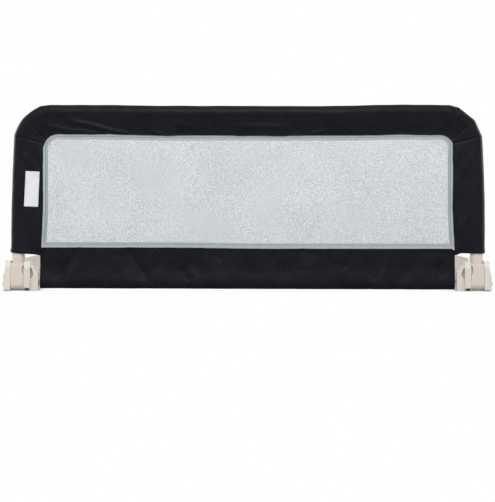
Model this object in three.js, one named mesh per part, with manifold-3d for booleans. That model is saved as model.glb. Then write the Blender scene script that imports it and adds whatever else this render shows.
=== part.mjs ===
// A folding bed guard rail. Two L-shaped base tubes lie flat under the mattress and meet in a joiner.
// A moulded hinge bracket closes the front end of each, and a tube frame in a fabric cover with a net
// window stands in the two brackets. The frame lifts off its stop and swings outwards and down on two
// pins. Millimetres: X runs along the side of the bed, Y towards the middle of the bed, Z up.
import * as THREE from 'three';
import { mergeVertices } from 'three/addons/utils/BufferGeometryUtils.js';
import { ConvexGeometry } from 'three/addons/geometries/ConvexGeometry.js';
import Module from 'manifold-3d';

const wasm = await Module();
wasm.setup();

// Fits that all pieces share
const clearance = 0.3;        // between a piece and what it plugs into or turns in
const overrun = 5;            // how far a cutter passes the face that it opens

// Guard frame: two bent legs with a top tube between them
const legSpan = 996;          // between the centres of the two legs
const guardHeight = 400.8;    // from the floor to the top of the cover
const legDiameter = 24;
const legWall = 1.2;
const legBend = 72;           // to the middle of the tube
const legLean = 2;            // how far a leg leans in, up to its bend
const leanStart = 115;        // height at which the lean starts
const topJointInset = 42;     // from the end of each bend to the top tube's joint
const swageLength = 38;       // the reduced end that plugs into a leg
const swageCone = 4;

// Hinge foot: the moulding on the lower end of each leg
const footWidth = 28;
const footRadius = 15.7;      // round the pin
const pivotHeight = 16.5;     // pin centre above the floor
const pinDiameter = 6.5;
const liftTravel = 7;         // length of the slot under the pin
const shoulderHeight = 57;
const shoulderRise = 5.6;     // how much higher the shoulder is at the collar's sides
const collarTop = 104;
const legSeat = 64;           // height of the stop that the leg stands on
const scallopLength = 22;     // finger relief in the foot's front inner edge
const scallopDepth = 3.7;
const scallopHeight = 45;
const scallopReach = 6.5;     // how far back the relief runs

// Hinge bracket
const outerCheek = 12.4;      // thickness of each cheek
const innerCheek = 13.8;
const cheekFront = 16.5;      // from the pin to the front face
const outerCheekHeight = 66;
const innerCheekHeight = 64;
const cheekCrown = 24;        // from the pin to the rear end of the outer cheek's top
const cheekDepth = 58;        // from the pin to its rear end at the sole
const cheekBrow = 14;         // height of the sloping brow above the front face
const cheekSlope = 7;         // how far the brow leans back
const toeRadius = 5;
const edgeRadius = 3;
const bossProud = 3.4;
const bossReach = 14.5;       // from the pin to the boss's front and rear
const bossHeight = 40;
const bevelDepth = 9;         // the outer front edge's bevel, which runs out downwards
const bevelWidth = 5.2;
const bevelLength = 22;
const swingGap = 1.5;         // between the turning foot and the wall behind it
const backWall = 6;
const backWallHeight = 58;
const floorThickness = 5;
const ribThickness = 3;
const ribSpacing = 10;
const notchHeight = 6.5;      // drain notch under the inner cheek
const notchSide = 1.6;
const webThickness = 4.9;
const webHeight = 72;
const webFront = 8;           // from the pin forward to the web's front edge
const webLength = 176;        // from the pin to the rear end of its top
const webRadius = 13;         // of its two rear corners
const webDrop = 14;           // how far the rear edge slopes back below the top
const webPanelDepth = 3;
const webPanelMargin = 13;
const webPanelRise = 1.5;     // from the socket's top to the sunk panel
const webPanelHeight = 14;

// Arm housing on the bracket's inner side
const housingWidth = 16.7;
const housingHeight = 41;
const housingFront = 10.5;
const housingShoulder = 54;   // where the slanting wall meets the cheek
const shoulderFlat = 3.2;
const pocketDepth = 8;
const pocketTop = 52.5;
const pocketBottom = 24.5;
const pocketWaist = 34.5;
const pocketWidth = 7;
const clipPocketRadius = 8;
const clipPocketDepth = 13.5;
const armSeat = 14;           // from the pin to the front end of the arm
const socketWall = 2;

// Base: two L-shaped tubes and their joiner
const armDiameter = 19;
const armWall = 1.2;
const armReach = 490;         // from the pin to the middle of the rear bar
const armBend = 45;
const armEndGap = 8;          // from the middle to the end of each tube in the joiner
const joinerHalfLength = 92;
const joinerWall = 2.9;
const joinerCollar = 12;      // width of the raised bands at its ends
const joinerCollarProud = 1.2;
const gripWall = 2.7;
const gripLength = 120;
const armGripStart = 250;     // from the pin to each arm grip
const rearGripStart = 190;    // from the middle to each rear grip

// Small hardware
const pinHeadDiameter = 12;
const pinHeadHeight = 2.6;
const pinTail = 4.5;          // the pin's length past the wall of the clip pocket
const pinGroove = 0.7;
const clipDiameter = 13;
const clipThickness = 1.2;
const capDiameter = 14;
const capProud = 5;
const capPlug = 1.2;
const screwDiameter = 4;
const screwHeadDiameter = 7.4;
const screwHeadHeight = 1.6;
const screwLength = 7;
const footScrewHeight = 74;
const topScrewInset = 18;     // from the top tube's joint to its screw
const armScrewPlace = 78;     // from the pin back to the arm's screw
const joinerScrewPlace = 62;  // from the middle to the joiner's screws

// Fabric cover, net window and skirt
const coverThickness = 1;
const bandHalfThickness = 1.3;
const sleeveEnd = 81;         // height of a side sleeve's lower end, at the leg
const sleeveSlope = 0.096;    // rise per length of that end, share of the band's width
const flatShare = 0.87;       // share of the band's width at which its two layers meet
const tipShare = 0.95;        // share of that width to which the tunnel reaches
const seamGap = 0.3;
const sideBand = 52.5;        // from a leg's centre to the binding's outer edge
const topBand = 48.5;         // from the top tube's centre down to the binding's top
const bindingBottom = 92;
const bindingCorner = 19.5;
const bindingWidth = 11;
const bindingThickness = 3;
const netThickness = 1;
const netGrip = 7;            // how deep the net sits in its binding
const skirtOverhang = 5.5;    // how far the lower part of the skirt reaches past the binding
const skirtBottom = 4;
const skirtStep = 75.3;       // below the side sleeves the skirt is wider
const skirtThickness = 2.2;
const skirtCorner = 3;
const labelWidth = 29.5;
const labelHeight = 78;
const labelThickness = 0.7;
const labelInset = 30.2;      // from the leg's centre to the label's
const labelDrop = 164.8;      // from the top tube's centre down to the label's
const labelTilt = THREE.MathUtils.degToRad(2.5);

// Places that follow from those sizes
const legX = legSpan / 2;
const slotInner = legX - footWidth / 2 - clearance;
const slotOuter = legX + footWidth / 2 + clearance;
const cheekOuterFace = slotOuter + outerCheek;
const bossFace = cheekOuterFace + bossProud;
const cheekInnerFace = slotInner - innerCheek;
const housingFace = cheekInnerFace - housingWidth;
const armRadius = armDiameter / 2;
const armBore = armRadius + clearance;
const socketRadius = armBore + socketWall;
const armX = housingFace + socketRadius;
const armZ = socketRadius;
const legRadius = legDiameter / 2;
const footCollar = footWidth / 2;
const tunnelRadius = footCollar + clearance;
const coverRadius = tunnelRadius + coverThickness;
const topTubeZ = guardHeight - coverRadius;
const bendX = legX - legLean - legBend;
const bendZ = topTubeZ - legBend;
const pinBore = pinDiameter / 2 + clearance;
const topJoint = bendX - topJointInset;
const bindingHalfWidth = legX - sideBand;
const bindingTop = topTubeZ - topBand;
const skirtHalfWidth = bindingHalfWidth + skirtOverhang;
const labelCentre = topTubeZ - labelDrop;

// Turns a closed three.js geometry into a solid for joining and cutting.
function solid(geometry) {
  const bare = geometry.index ? geometry.toNonIndexed() : geometry.clone();
  bare.deleteAttribute('normal');
  bare.deleteAttribute('uv');
  const merged = mergeVertices(bare, 1e-4);
  return new wasm.Manifold(new wasm.Mesh({
    numProp: 3,
    vertProperties: merged.attributes.position.array,
    triVerts: new Uint32Array(merged.index.array),
  }));
}

// Turns a solid back into a geometry that a mesh can show.
function shell(body) {
  const { vertProperties, triVerts } = body.getMesh();
  const geometry = new THREE.BufferGeometry();
  geometry.setAttribute('position', new THREE.BufferAttribute(vertProperties, 3));
  geometry.setIndex(new THREE.BufferAttribute(triVerts, 1));
  const faceted = geometry.toNonIndexed();
  faceted.computeVertexNormals();
  return faceted;
}

const join = (first, ...rest) => rest.reduce((whole, piece) => whole.add(piece), first);
const cut = (body, ...tools) => tools.reduce((left, tool) => left.subtract(tool), body);

// A closed outline through corners [u, v, radius], each rounded by a true arc where it has a radius.
function outline(corners) {
  const shape = new THREE.Shape();
  const place = (corner) => new THREE.Vector2(corner[0], corner[1]);
  corners.forEach((corner, i) => {
    const here = place(corner);
    const before = place(corners.at(i - 1)).sub(here).normalize();
    const after = place(corners[(i + 1) % corners.length]).sub(here).normalize();
    const radius = corner[2] ?? 0;
    if (radius === 0) {
      if (i === 0) shape.moveTo(here.x, here.y);
      else shape.lineTo(here.x, here.y);
      return;
    }
    const half = before.angleTo(after) / 2;
    const centre = before.clone().add(after).normalize().multiplyScalar(radius / Math.sin(half)).add(here);
    const start = before.multiplyScalar(radius / Math.tan(half)).add(here).sub(centre);
    const end = after.multiplyScalar(radius / Math.tan(half)).add(here).sub(centre);
    const first = start.angle();
    if (i > 0) shape.lineTo(centre.x + radius * Math.cos(first), centre.y + radius * Math.sin(first));
    shape.absarc(centre.x, centre.y, radius, first, end.angle(), start.cross(end) < 0);
  });
  return shape;
}

// An upright slot outline: two half circles, with their centres at low and high.
function stadium(low, high, radius) {
  const shape = new THREE.Shape();
  shape.absarc(0, high, radius, 0, Math.PI, false);
  shape.absarc(0, low, radius, Math.PI, 2 * Math.PI, false);
  return shape;
}

const axisBases = {
  x: [new THREE.Vector3(0, 1, 0), new THREE.Vector3(0, 0, 1), new THREE.Vector3(1, 0, 0)],
  y: [new THREE.Vector3(-1, 0, 0), new THREE.Vector3(0, 0, 1), new THREE.Vector3(0, 1, 0)],
  z: [new THREE.Vector3(1, 0, 0), new THREE.Vector3(0, 1, 0), new THREE.Vector3(0, 0, 1)],
};

// A shape drawn across an axis and extruded along it: (Y, Z) for x, (-X, Z) for y and (X, Y) for z.
function prism(axis, shape, from, to, curveSegments = 6) {
  const geometry = new THREE.ExtrudeGeometry(shape, { depth: to - from, bevelEnabled: false, curveSegments });
  return geometry
    .translate(0, 0, from)
    .applyMatrix4(new THREE.Matrix4().makeBasis(...axisBases[axis]));
}

// A box between two corners.
function block(low, high) {
  const size = low.map((value, i) => high[i] - value);
  return new THREE.BoxGeometry(...size).translate(...low.map((value, i) => value + size[i] / 2));
}

// A turned piece: a closed profile of [radius, place along the axis] pairs, on the line through centre.
function turned(axis, profile, centre, segments = 20) {
  const points = profile.map(([radius, along]) => new THREE.Vector2(radius, along));
  if (points[0].x > 0) points.push(points[0]);
  const geometry = new THREE.LatheGeometry(points, segments);
  const toAxis = { x: [0, 0, -Math.PI / 2], y: [0, 0, 0], z: [Math.PI / 2, 0, 0] }[axis];
  return geometry
    .applyMatrix4(new THREE.Matrix4().makeRotationFromEuler(new THREE.Euler(...toAxis)))
    .translate(...centre);
}

// A plain rod along an axis.
function rod(axis, radius, from, to, centre, segments = 20) {
  return turned(axis, [[0, from], [radius, from], [radius, to], [0, to]], centre, segments);
}

// A path through chosen stations, so that each ring of a swept tube lies on one of them.
class Stations extends THREE.Curve {
  constructor(points) {
    super();
    this.points = points;
  }

  getPointAt(share) {
    const place = share * (this.points.length - 1);
    const i = Math.min(Math.floor(place), this.points.length - 2);
    return this.points[i].clone().lerp(this.points[i + 1], place - i);
  }

  getPoint(share) {
    return this.getPointAt(share);
  }

  getTangentAt(share) {
    const i = Math.round(share * (this.points.length - 1));
    const last = this.points.length - 1;
    return this.points[Math.min(i + 1, last)].clone().sub(this.points[Math.max(i - 1, 0)]).normalize();
  }
}

// A hollow tube through stations, with twice halfSides round its section.
function sweptTube(points, radius, wall, halfSides) {
  const section = new THREE.Shape();
  section.absarc(0, 0, radius, 0, 2 * Math.PI, false);
  const bore = new THREE.Path();
  bore.absarc(0, 0, radius - wall, 0, 2 * Math.PI, true);
  section.holes.push(bore);
  return new THREE.ExtrudeGeometry(section, {
    steps: points.length - 1,
    curveSegments: halfSides,
    extrudePath: new Stations(points),
  });
}

// The stations of a quarter bend from one direction into another, with its two tangent points.
function bend(centre, radius, from, to, steps = 8) {
  return Array.from({ length: steps + 1 }, (_, i) => {
    const turn = (i / steps) * (Math.PI / 2);
    return centre.clone()
      .addScaledVector(from, radius * Math.cos(turn))
      .addScaledVector(to, radius * Math.sin(turn));
  });
}

// Cuts a corner off along a slanting plane: reach gives how far the plane lies along each edge.
function cornerCut(corner, reach) {
  const outside = new THREE.Vector3(...reach.map((value) => -Math.sign(value) * overrun)).add(corner);
  const grown = reach.reduce((sum, value) => sum + overrun / Math.abs(value), 1);
  const tips = reach.map((value, i) => outside.clone().setComponent(i, outside.getComponent(i) + value * grown));
  return new ConvexGeometry([outside, ...tips]);
}

// A pan-head screw whose head stands on seat, with its shank running the other way along the axis.
function screw(axis, side, seat, centre) {
  const profile = [
    [0, -screwLength],
    [screwDiameter / 2, -screwLength],
    [screwDiameter / 2, 0],
    [screwHeadDiameter / 2, 0],
    [screwHeadDiameter / 2, screwHeadHeight / 2],
    [screwHeadDiameter / 3, screwHeadHeight],
    [0, screwHeadHeight],
  ].map(([radius, along]) => [radius, seat + side * along]);
  return turned(axis, side > 0 ? profile : profile.reverse(), centre, 14);
}

const screwHole = (axis, from, to, centre) => solid(rod(axis, screwDiameter / 2 + clearance, from, to, centre, 14));

// The moulded bracket: two cheeks with the foot's slot between them, a wall and ribs behind the slot,
// and the housing, web and socket that hold the arm.
function hingeBracket() {
  const browBack = -cheekFront + cheekSlope;
  const outerShape = outline([
    [-cheekFront, 0, toeRadius],
    [cheekDepth, 0, edgeRadius],
    [cheekCrown, outerCheekHeight, 2 * edgeRadius],
    [browBack, outerCheekHeight, edgeRadius],
    [-cheekFront, outerCheekHeight - cheekBrow, edgeRadius],
  ]);
  const innerShape = outline([
    [-cheekFront, 0, toeRadius],
    [armSeat, 0],
    [armSeat, innerCheekHeight, edgeRadius],
    [browBack, innerCheekHeight, edgeRadius],
    [-cheekFront, innerCheekHeight - cheekBrow, edgeRadius],
  ]);
  const bossShape = outline([
    [-bossReach, 0, edgeRadius],
    [bossReach, 0, edgeRadius],
    [bossReach, bossHeight, 2 * edgeRadius],
    [-bossReach, bossHeight, 2 * edgeRadius],
  ]);
  const webFace = slotInner - webThickness;
  const webShape = outline([
    [-webFront, footRadius],
    [armSeat, 0],
    [webLength, 0, edgeRadius],
    [webLength, 2 * armZ, webRadius],
    [webLength - webDrop, webHeight, webRadius],
    [-webFront, webHeight, 2 * edgeRadius],
  ]);
  const wallFront = footRadius + swingGap;
  const wallBack = wallFront + backWall;
  const ribShape = outline([
    [wallFront, 0],
    [cheekDepth - edgeRadius, 0],
    [cheekDepth - edgeRadius, floorThickness],
    [wallBack, backWallHeight - edgeRadius],
    [wallFront, backWallHeight - edgeRadius],
  ]);
  const rib = (x) => solid(prism('x', ribShape, x - ribThickness / 2, x + ribThickness / 2));
  const housingShape = outline([
    [-housingFace, 0],
    [-housingFace, housingHeight, edgeRadius],
    [shoulderFlat - cheekInnerFace, housingShoulder, edgeRadius],
    [-slotInner, housingShoulder],
    [-slotInner, 0],
  ]);
  const pocketShape = outline([
    [-cheekInnerFace, pocketBottom],
    [pocketWidth - cheekInnerFace, pocketWaist],
    [-cheekInnerFace, pocketTop],
  ]);
  const panelTop = 2 * armZ + webPanelRise + webPanelHeight;
  const panelShape = outline([
    [webPanelMargin, 2 * armZ + webPanelRise, edgeRadius],
    [webLength - webPanelMargin, 2 * armZ + webPanelRise, edgeRadius],
    [webLength - webPanelMargin, panelTop, edgeRadius],
    [webPanelMargin, panelTop, edgeRadius],
  ]);
  const notchShape = outline([
    [-slotInner + notchSide, -overrun],
    [-cheekInnerFace - notchSide, -overrun],
    [-cheekInnerFace - notchSide, notchHeight, notchSide],
    [-slotInner + notchSide, notchHeight, notchSide],
  ]);
  const pinLine = [0, 0, pivotHeight];
  const armLine = [armX, 0, armZ];
  const clipWall = housingFace + clipPocketDepth;
  const headRecess = bossFace - capPlug - pinHeadHeight - 2 * clearance;
  const body = join(
    solid(prism('x', outerShape, slotOuter, cheekOuterFace, 3)),
    solid(prism('x', innerShape, cheekInnerFace, slotInner, 3)),
    solid(prism('x', bossShape, slotOuter, bossFace, 3)),
    solid(prism('x', webShape, webFace, slotInner, 3)),
    solid(block([webFace, wallFront, 0], [slotOuter + outerCheek / 2, wallBack, backWallHeight])),
    solid(block([webFace, wallFront, 0], [slotOuter + outerCheek / 2, cheekDepth - edgeRadius, floorThickness])),
    rib(legX - ribSpacing / 2),
    rib(legX + ribSpacing / 2),
    solid(prism('y', housingShape, -housingFront, armSeat, 2)),
    solid(rod('y', socketRadius, 0, webLength, armLine, 28)),
    solid(block([armX, 0, 0], [slotInner, webLength, armZ])),
  );
  return cut(
    body,
    solid(rod('y', armBore, armSeat, webLength + overrun, armLine, 28)),
    solid(prism('y', pocketShape, -housingFront - overrun, pocketDepth - housingFront)),
    solid(prism('x', panelShape, webFace - overrun, webFace + webPanelDepth, 2)),
    solid(prism('y', notchShape, -cheekFront - overrun, 0, 2)),
    solid(rod('x', clipPocketRadius, housingFace - overrun, clipWall, pinLine)),
    solid(rod('x', pinBore, clipWall - overrun, bossFace + overrun, pinLine)),
    solid(rod('x', pinHeadDiameter / 2 + clearance, headRecess, bossFace + overrun, pinLine)),
    solid(cornerCut(
      new THREE.Vector3(cheekOuterFace, -cheekFront, outerCheekHeight),
      [-bevelWidth, bevelDepth, -bevelLength],
    )),
    screwHole('x', housingFace - overrun, armX, [0, armScrewPlace, armZ]),
  );
}

// The foot on the leg: a round-ended lobe with the lift slot, and a collar that takes the tube.
function hingeFoot() {
  const lobe = new THREE.Shape();
  lobe.absarc(0, pivotHeight, footRadius, Math.PI, 2 * Math.PI, false);
  lobe.lineTo(footRadius, shoulderHeight);
  lobe.lineTo(0, shoulderHeight + shoulderRise);
  lobe.lineTo(-footRadius, shoulderHeight);
  const legLine = [legX, 0, 0];
  const scallopRadius = (scallopLength ** 2 / 4 + scallopDepth ** 2) / (2 * scallopDepth);
  const scallopX = legX - footCollar + scallopDepth - scallopRadius;
  return cut(
    join(
      solid(prism('x', lobe, legX - footCollar, legX + footCollar, 10)),
      solid(rod('z', footCollar, shoulderHeight - shoulderRise, collarTop, legLine, 28)),
    ),
    solid(rod('z', legRadius + clearance, legSeat - clearance, collarTop + overrun, legLine, 28)),
    solid(prism('x', stadium(pivotHeight - liftTravel, pivotHeight, pinBore), legX - footWidth, legX + footWidth)),
    solid(rod('y', scallopRadius, -footRadius - overrun, scallopReach - footRadius, [scallopX, 0, scallopHeight], 48)),
    screwHole('y', 0, footCollar + overrun, [legX, 0, footScrewHeight]),
  );
}

// One leg of the guard frame, from its seat in the foot up and round the bend to the top joint.
function guardLeg() {
  const across = new THREE.Vector3(1, 0, 0);
  const up = new THREE.Vector3(0, 0, 1);
  const stations = [
    new THREE.Vector3(legX, 0, legSeat),
    new THREE.Vector3(legX, 0, leanStart),
    ...bend(new THREE.Vector3(bendX, 0, bendZ), legBend, across, up),
    new THREE.Vector3(topJoint + clearance, 0, topTubeZ),
  ];
  return cut(
    solid(sweptTube(stations, legRadius, legWall, 10)),
    screwHole('y', 0, legRadius + overrun, [legX, 0, footScrewHeight]),
    screwHole('y', 0, legRadius + overrun, [topJoint + topScrewInset, 0, topTubeZ]),
  );
}

// The straight top tube, with both ends reduced to plug into the legs.
function topTube() {
  const plug = legRadius - legWall - clearance;
  const end = topJoint + swageLength;
  const half = [
    [plug - legWall, end],
    [plug, end],
    [plug, topJoint],
    [legRadius, topJoint - swageCone],
  ];
  const inside = [
    [legRadius - legWall, topJoint - swageCone - legWall],
    [plug - legWall, topJoint - legWall],
  ];
  const lower = half.map(([radius, along]) => [radius, -along]);
  const insideLower = inside.map(([radius, along]) => [radius, -along]);
  const profile = [...lower, ...half.toReversed(), ...inside.toReversed(), ...insideLower];
  return cut(
    solid(turned('x', profile, [0, 0, topTubeZ], 18)),
    screwHole('y', 0, legRadius + overrun, [topJoint + topScrewInset, 0, topTubeZ]),
    screwHole('y', 0, legRadius + overrun, [-topJoint - topScrewInset, 0, topTubeZ]),
  );
}

// One L-shaped tube of the base, from the bracket's socket round to the joiner.
function baseTube() {
  const across = new THREE.Vector3(1, 0, 0);
  const away = new THREE.Vector3(0, 1, 0);
  const stations = [
    new THREE.Vector3(armX, armSeat + clearance, armZ),
    ...bend(new THREE.Vector3(armX - armBend, armReach - armBend, armZ), armBend, across, away),
    new THREE.Vector3(armEndGap, armReach, armZ),
  ];
  return cut(
    solid(sweptTube(stations, armRadius, armWall, 9)),
    screwHole('x', housingFace - overrun, armX, [0, armScrewPlace, armZ]),
    screwHole('z', armZ, 2 * socketRadius + overrun, [joinerScrewPlace, armReach, 0]),
  );
}

// Everything below the floor, for cutting flat soles.
const underFloor = () => solid(block([-legSpan, -legSpan, -legSpan], [legSpan, legSpan, 0]));

// The moulded sleeve that joins the two base tubes, with raised bands at its ends.
function baseJoiner() {
  const line = [0, armReach, armZ];
  const outer = armBore + joinerWall;
  const band = (side) => {
    const ends = [side * joinerHalfLength, side * (joinerHalfLength - joinerCollar)].sort((a, b) => a - b);
    return solid(rod('x', outer + joinerCollarProud, ends[0], ends[1], line, 28));
  };
  const bore = (side) => {
    const ends = [side * (armEndGap - clearance), side * (joinerHalfLength + overrun)].sort((a, b) => a - b);
    return solid(rod('x', armBore, ends[0], ends[1], line, 28));
  };
  return cut(
    join(solid(rod('x', outer, -joinerHalfLength, joinerHalfLength, line, 28)), band(1), band(-1)),
    bore(1),
    bore(-1),
    screwHole('z', armZ, 2 * socketRadius + overrun, [joinerScrewPlace, armReach, 0]),
    screwHole('z', armZ, 2 * socketRadius + overrun, [-joinerScrewPlace, armReach, 0]),
    underFloor(),
  );
}

// A rubber grip round a base tube, with a flat sole.
function grip(axis, start, line) {
  const body = turned(axis, [
    [armBore, start],
    [armBore + gripWall - clearance, start],
    [armBore + gripWall, start + gripWall],
    [armBore + gripWall, start + gripLength - gripWall],
    [armBore + gripWall - clearance, start + gripLength],
    [armBore, start + gripLength],
  ], line, 24);
  return cut(solid(body), underFloor());
}

// The hinge pin, its push-on clip and the cap over its head.
const pinHeadEnd = bossFace - capPlug - clearance;
const clipSeat = housingFace + clipPocketDepth - clearance;
function pivotPin() {
  const shank = pinDiameter / 2;
  const head = pinHeadDiameter / 2;
  return turned('x', [
    [0, clipSeat - clipThickness - pinTail],
    [shank - pinGroove, clipSeat - clipThickness - pinTail],
    [shank, clipSeat - clipThickness - pinTail + pinGroove],
    [shank, clipSeat - clipThickness - clearance],
    [shank - pinGroove, clipSeat - clipThickness - clearance],
    [shank - pinGroove, clipSeat],
    [shank, clipSeat],
    [shank, pinHeadEnd - pinHeadHeight],
    [head, pinHeadEnd - pinHeadHeight],
    [head, pinHeadEnd],
    [0, pinHeadEnd],
  ], [0, 0, pivotHeight], 24);
}

function pinClip() {
  const inner = pinDiameter / 2 - pinGroove + clearance / 2;
  return turned('x', [
    [inner, clipSeat - clipThickness],
    [clipDiameter / 2, clipSeat - clipThickness],
    [clipDiameter / 2, clipSeat - clipThickness / 3],
    [inner, clipSeat - clipThickness / 3],
  ], [0, 0, pivotHeight], 24);
}

function pinCap() {
  const rim = capDiameter / 2;
  const plug = pinHeadDiameter / 2;
  const seat = bossFace + clearance;
  const dome = Array.from({ length: 5 }, (_, i) => {
    const turn = (i / 5) * (Math.PI / 2);
    return [rim * Math.cos(turn), seat + capProud / 4 + (capProud * 3 / 4 - clearance) * Math.sin(turn)];
  });
  return turned('x', [
    [0, pinHeadEnd + clearance],
    [plug, pinHeadEnd + clearance],
    [plug, seat],
    [rim, seat],
    ...dome,
    [0, bossFace + capProud],
  ], [0, 0, pivotHeight], 28);
}

// The cover's section across its run: a tunnel round the tube that narrows to a flat double layer.
// The u axis points from the tube towards the window and y through the cloth.
function coverSection(reach) {
  const ring = (radius, tip, halfGap) => {
    const start = Math.atan2(halfGap, tip) + Math.acos(radius / Math.hypot(tip, halfGap));
    const arc = Array.from({ length: 13 }, (_, i) => {
      const angle = start + (i / 12) * (2 * Math.PI - 2 * start);
      return new THREE.Vector2(radius * Math.cos(angle), radius * Math.sin(angle));
    });
    return [...arc, new THREE.Vector2(tip, -halfGap), new THREE.Vector2(tip, halfGap)];
  };
  const outer = ring(coverRadius, reach * flatShare, bandHalfThickness);
  const edge = [new THREE.Vector2(reach, -bandHalfThickness), new THREE.Vector2(reach, bandHalfThickness)];
  outer.splice(outer.length - 1, 0, ...edge);
  const hole = ring(tunnelRadius, reach * flatShare - coverThickness, bandHalfThickness / 4);
  return { outer, hole };
}

// Lofts the section through mitred stations { at, inward, stretch, reach } into one open-ended tunnel.
function coverTunnel(stations) {
  const rings = stations.map(({ at, inward, stretch, reach }) => {
    const section = coverSection(reach);
    const place = ({ x, y }) => at.clone().addScaledVector(inward, x * stretch).setY(y);
    return { outer: section.outer.map(place), hole: section.hole.map(place), section };
  });
  const corners = [];
  const skin = (from, to, outwards) => from.forEach((_, j) => {
    const next = (j + 1) % from.length;
    const quad = [from[j], to[j], to[next], from[j], to[next], from[next]];
    corners.push(...(outwards ? quad : quad.reverse()));
  });
  for (let i = 0; i + 1 < rings.length; i += 1) {
    skin(rings[i].outer, rings[i + 1].outer, true);
    skin(rings[i].hole, rings[i + 1].hole, false);
  }
  const cap = ({ outer, hole, section }, forwards) => {
    const spots = [...outer, ...hole];
    const flat = [...section.outer, ...section.hole];
    THREE.ShapeUtils.triangulateShape(section.outer.slice(), [section.hole.slice()]).forEach((face) => {
      const turn = THREE.ShapeUtils.area(face.map((k) => flat[k])) > 0;
      const ordered = turn === forwards ? face.toReversed() : face;
      corners.push(...ordered.map((k) => spots[k]));
    });
  };
  cap(rings[0], false);
  cap(rings.at(-1), true);
  return new THREE.BufferGeometry().setFromPoints(corners);
}

// A mitre of the pleated corner, at an angle round the bend's centre.
const pleatHalf = Math.PI / 12;
function mitre(angle, edgeRadiusInside) {
  const stretch = 1 / Math.cos(pleatHalf);
  const outwards = new THREE.Vector3(Math.cos(angle), 0, Math.sin(angle));
  return {
    at: new THREE.Vector3(bendX, 0, bendZ).addScaledVector(outwards, legBend * stretch),
    inward: outwards.clone().negate(),
    stretch,
    reach: legBend - edgeRadiusInside / stretch,
  };
}

const bandEdgeX = bindingHalfWidth + seamGap;
const bandEdgeZ = bindingTop + seamGap;
const sideMitre = mitre(pleatHalf, (bandEdgeX - bendX) / Math.cos(pleatHalf));
const topMitre = mitre(5 * pleatHalf, (bandEdgeZ - bendZ) / Math.sin(5 * pleatHalf));
const cornerClear = (bindingCorner + seamGap) / Math.cos(pleatHalf) ** 2;
const cornerOffset = Math.hypot(bandEdgeX - bindingCorner - bendX, bandEdgeZ - bindingCorner - bendZ);
const cornerMitre = mitre(3 * pleatHalf, cornerClear + cornerOffset);

function sideCover() {
  const flat = new THREE.Vector3(-1, 0, 0);
  const sloped = new THREE.Vector3(-1, 0, -sleeveSlope);
  const reach = legX - bandEdgeX;
  return coverTunnel([
    { at: new THREE.Vector3(legX, 0, sleeveEnd), inward: sloped, stretch: 1, reach },
    { at: new THREE.Vector3(legX, 0, leanStart), inward: flat, stretch: 1, reach },
    sideMitre,
    cornerMitre,
    topMitre,
  ]);
}

function topCover() {
  const start = { ...topMitre, at: topMitre.at.clone() };
  start.at.x -= seamGap;
  const end = { ...start, at: start.at.clone(), inward: start.inward.clone() };
  end.at.x *= -1;
  end.inward.x *= -1;
  return coverTunnel([start, end]);
}

// An upright panel with round upper corners, drawn as an outline across Y.
const windowShape = (halfWidth, bottom, top, radius) => outline([
  [-halfWidth, bottom],
  [halfWidth, bottom],
  [halfWidth, top, radius],
  [-halfWidth, top, radius],
]);

function netShape(margin) {
  const inset = bindingWidth - netGrip - margin;
  return windowShape(
    bindingHalfWidth - inset,
    bindingBottom + inset,
    bindingTop - inset,
    bindingCorner - inset,
  );
}

const netPanel = () => solid(prism('y', netShape(0), -netThickness / 2, netThickness / 2, 5));

// The binding tape: a flat ring with a groove inside it, in which the net's edge is sewn.
function netBinding() {
  const half = bindingThickness / 2;
  const whole = windowShape(bindingHalfWidth, bindingBottom, bindingTop, bindingCorner);
  const opening = windowShape(
    bindingHalfWidth - bindingWidth,
    bindingBottom + bindingWidth,
    bindingTop - bindingWidth,
    bindingCorner - bindingWidth,
  );
  return cut(
    solid(prism('y', whole, -half, half, 6)),
    solid(prism('y', opening, -half - overrun, half + overrun, 6)),
    solid(prism('y', netShape(clearance), -netThickness / 2 - clearance, netThickness / 2 + clearance, 5)),
  );
}

function coverSkirt() {
  const narrow = bindingHalfWidth;
  const shape = outline([
    [-skirtHalfWidth, skirtBottom, skirtCorner],
    [skirtHalfWidth, skirtBottom, skirtCorner],
    [skirtHalfWidth, skirtStep],
    [narrow, skirtStep],
    [narrow, bindingBottom - seamGap],
    [-narrow, bindingBottom - seamGap],
    [-narrow, skirtStep],
    [-skirtHalfWidth, skirtStep],
  ]);
  return solid(prism('y', shape, -skirtThickness / 2, skirtThickness / 2, 2));
}

// Finishes
const finish = (color, roughness, metalness = 0) => new THREE.MeshStandardMaterial({ color, roughness, metalness });
const creamPlastic = () => finish(0xd8d2c6, 0.5);
const creamPaint = () => finish(0xd2cabf, 0.38);
const blackCloth = () => finish(0x222024, 0.85);
const brightSteel = () => finish(0xb8bab9, 0.35, 1);
const greyRubber = () => finish(0x4a4a4c, 0.9);

const rail = new THREE.Group();
const rightSide = new THREE.Group();
const leftSide = new THREE.Group();
leftSide.scale.x = -1;
rail.add(rightSide, leftSide);

function addPiece(name, body, material, parent = rail) {
  const geometry = body.isBufferGeometry ? shell(solid(body)) : shell(body);
  const mesh = new THREE.Mesh(geometry, material);
  mesh.name = name;
  parent.add(mesh);
  return mesh;
}

// A right-hand piece and its mirror image on the left.
function addPair(name, body, makeMaterial) {
  addPiece(`${name}_right`, body, makeMaterial(), rightSide);
  addPiece(`${name}_left`, body, makeMaterial(), leftSide);
}

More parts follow.
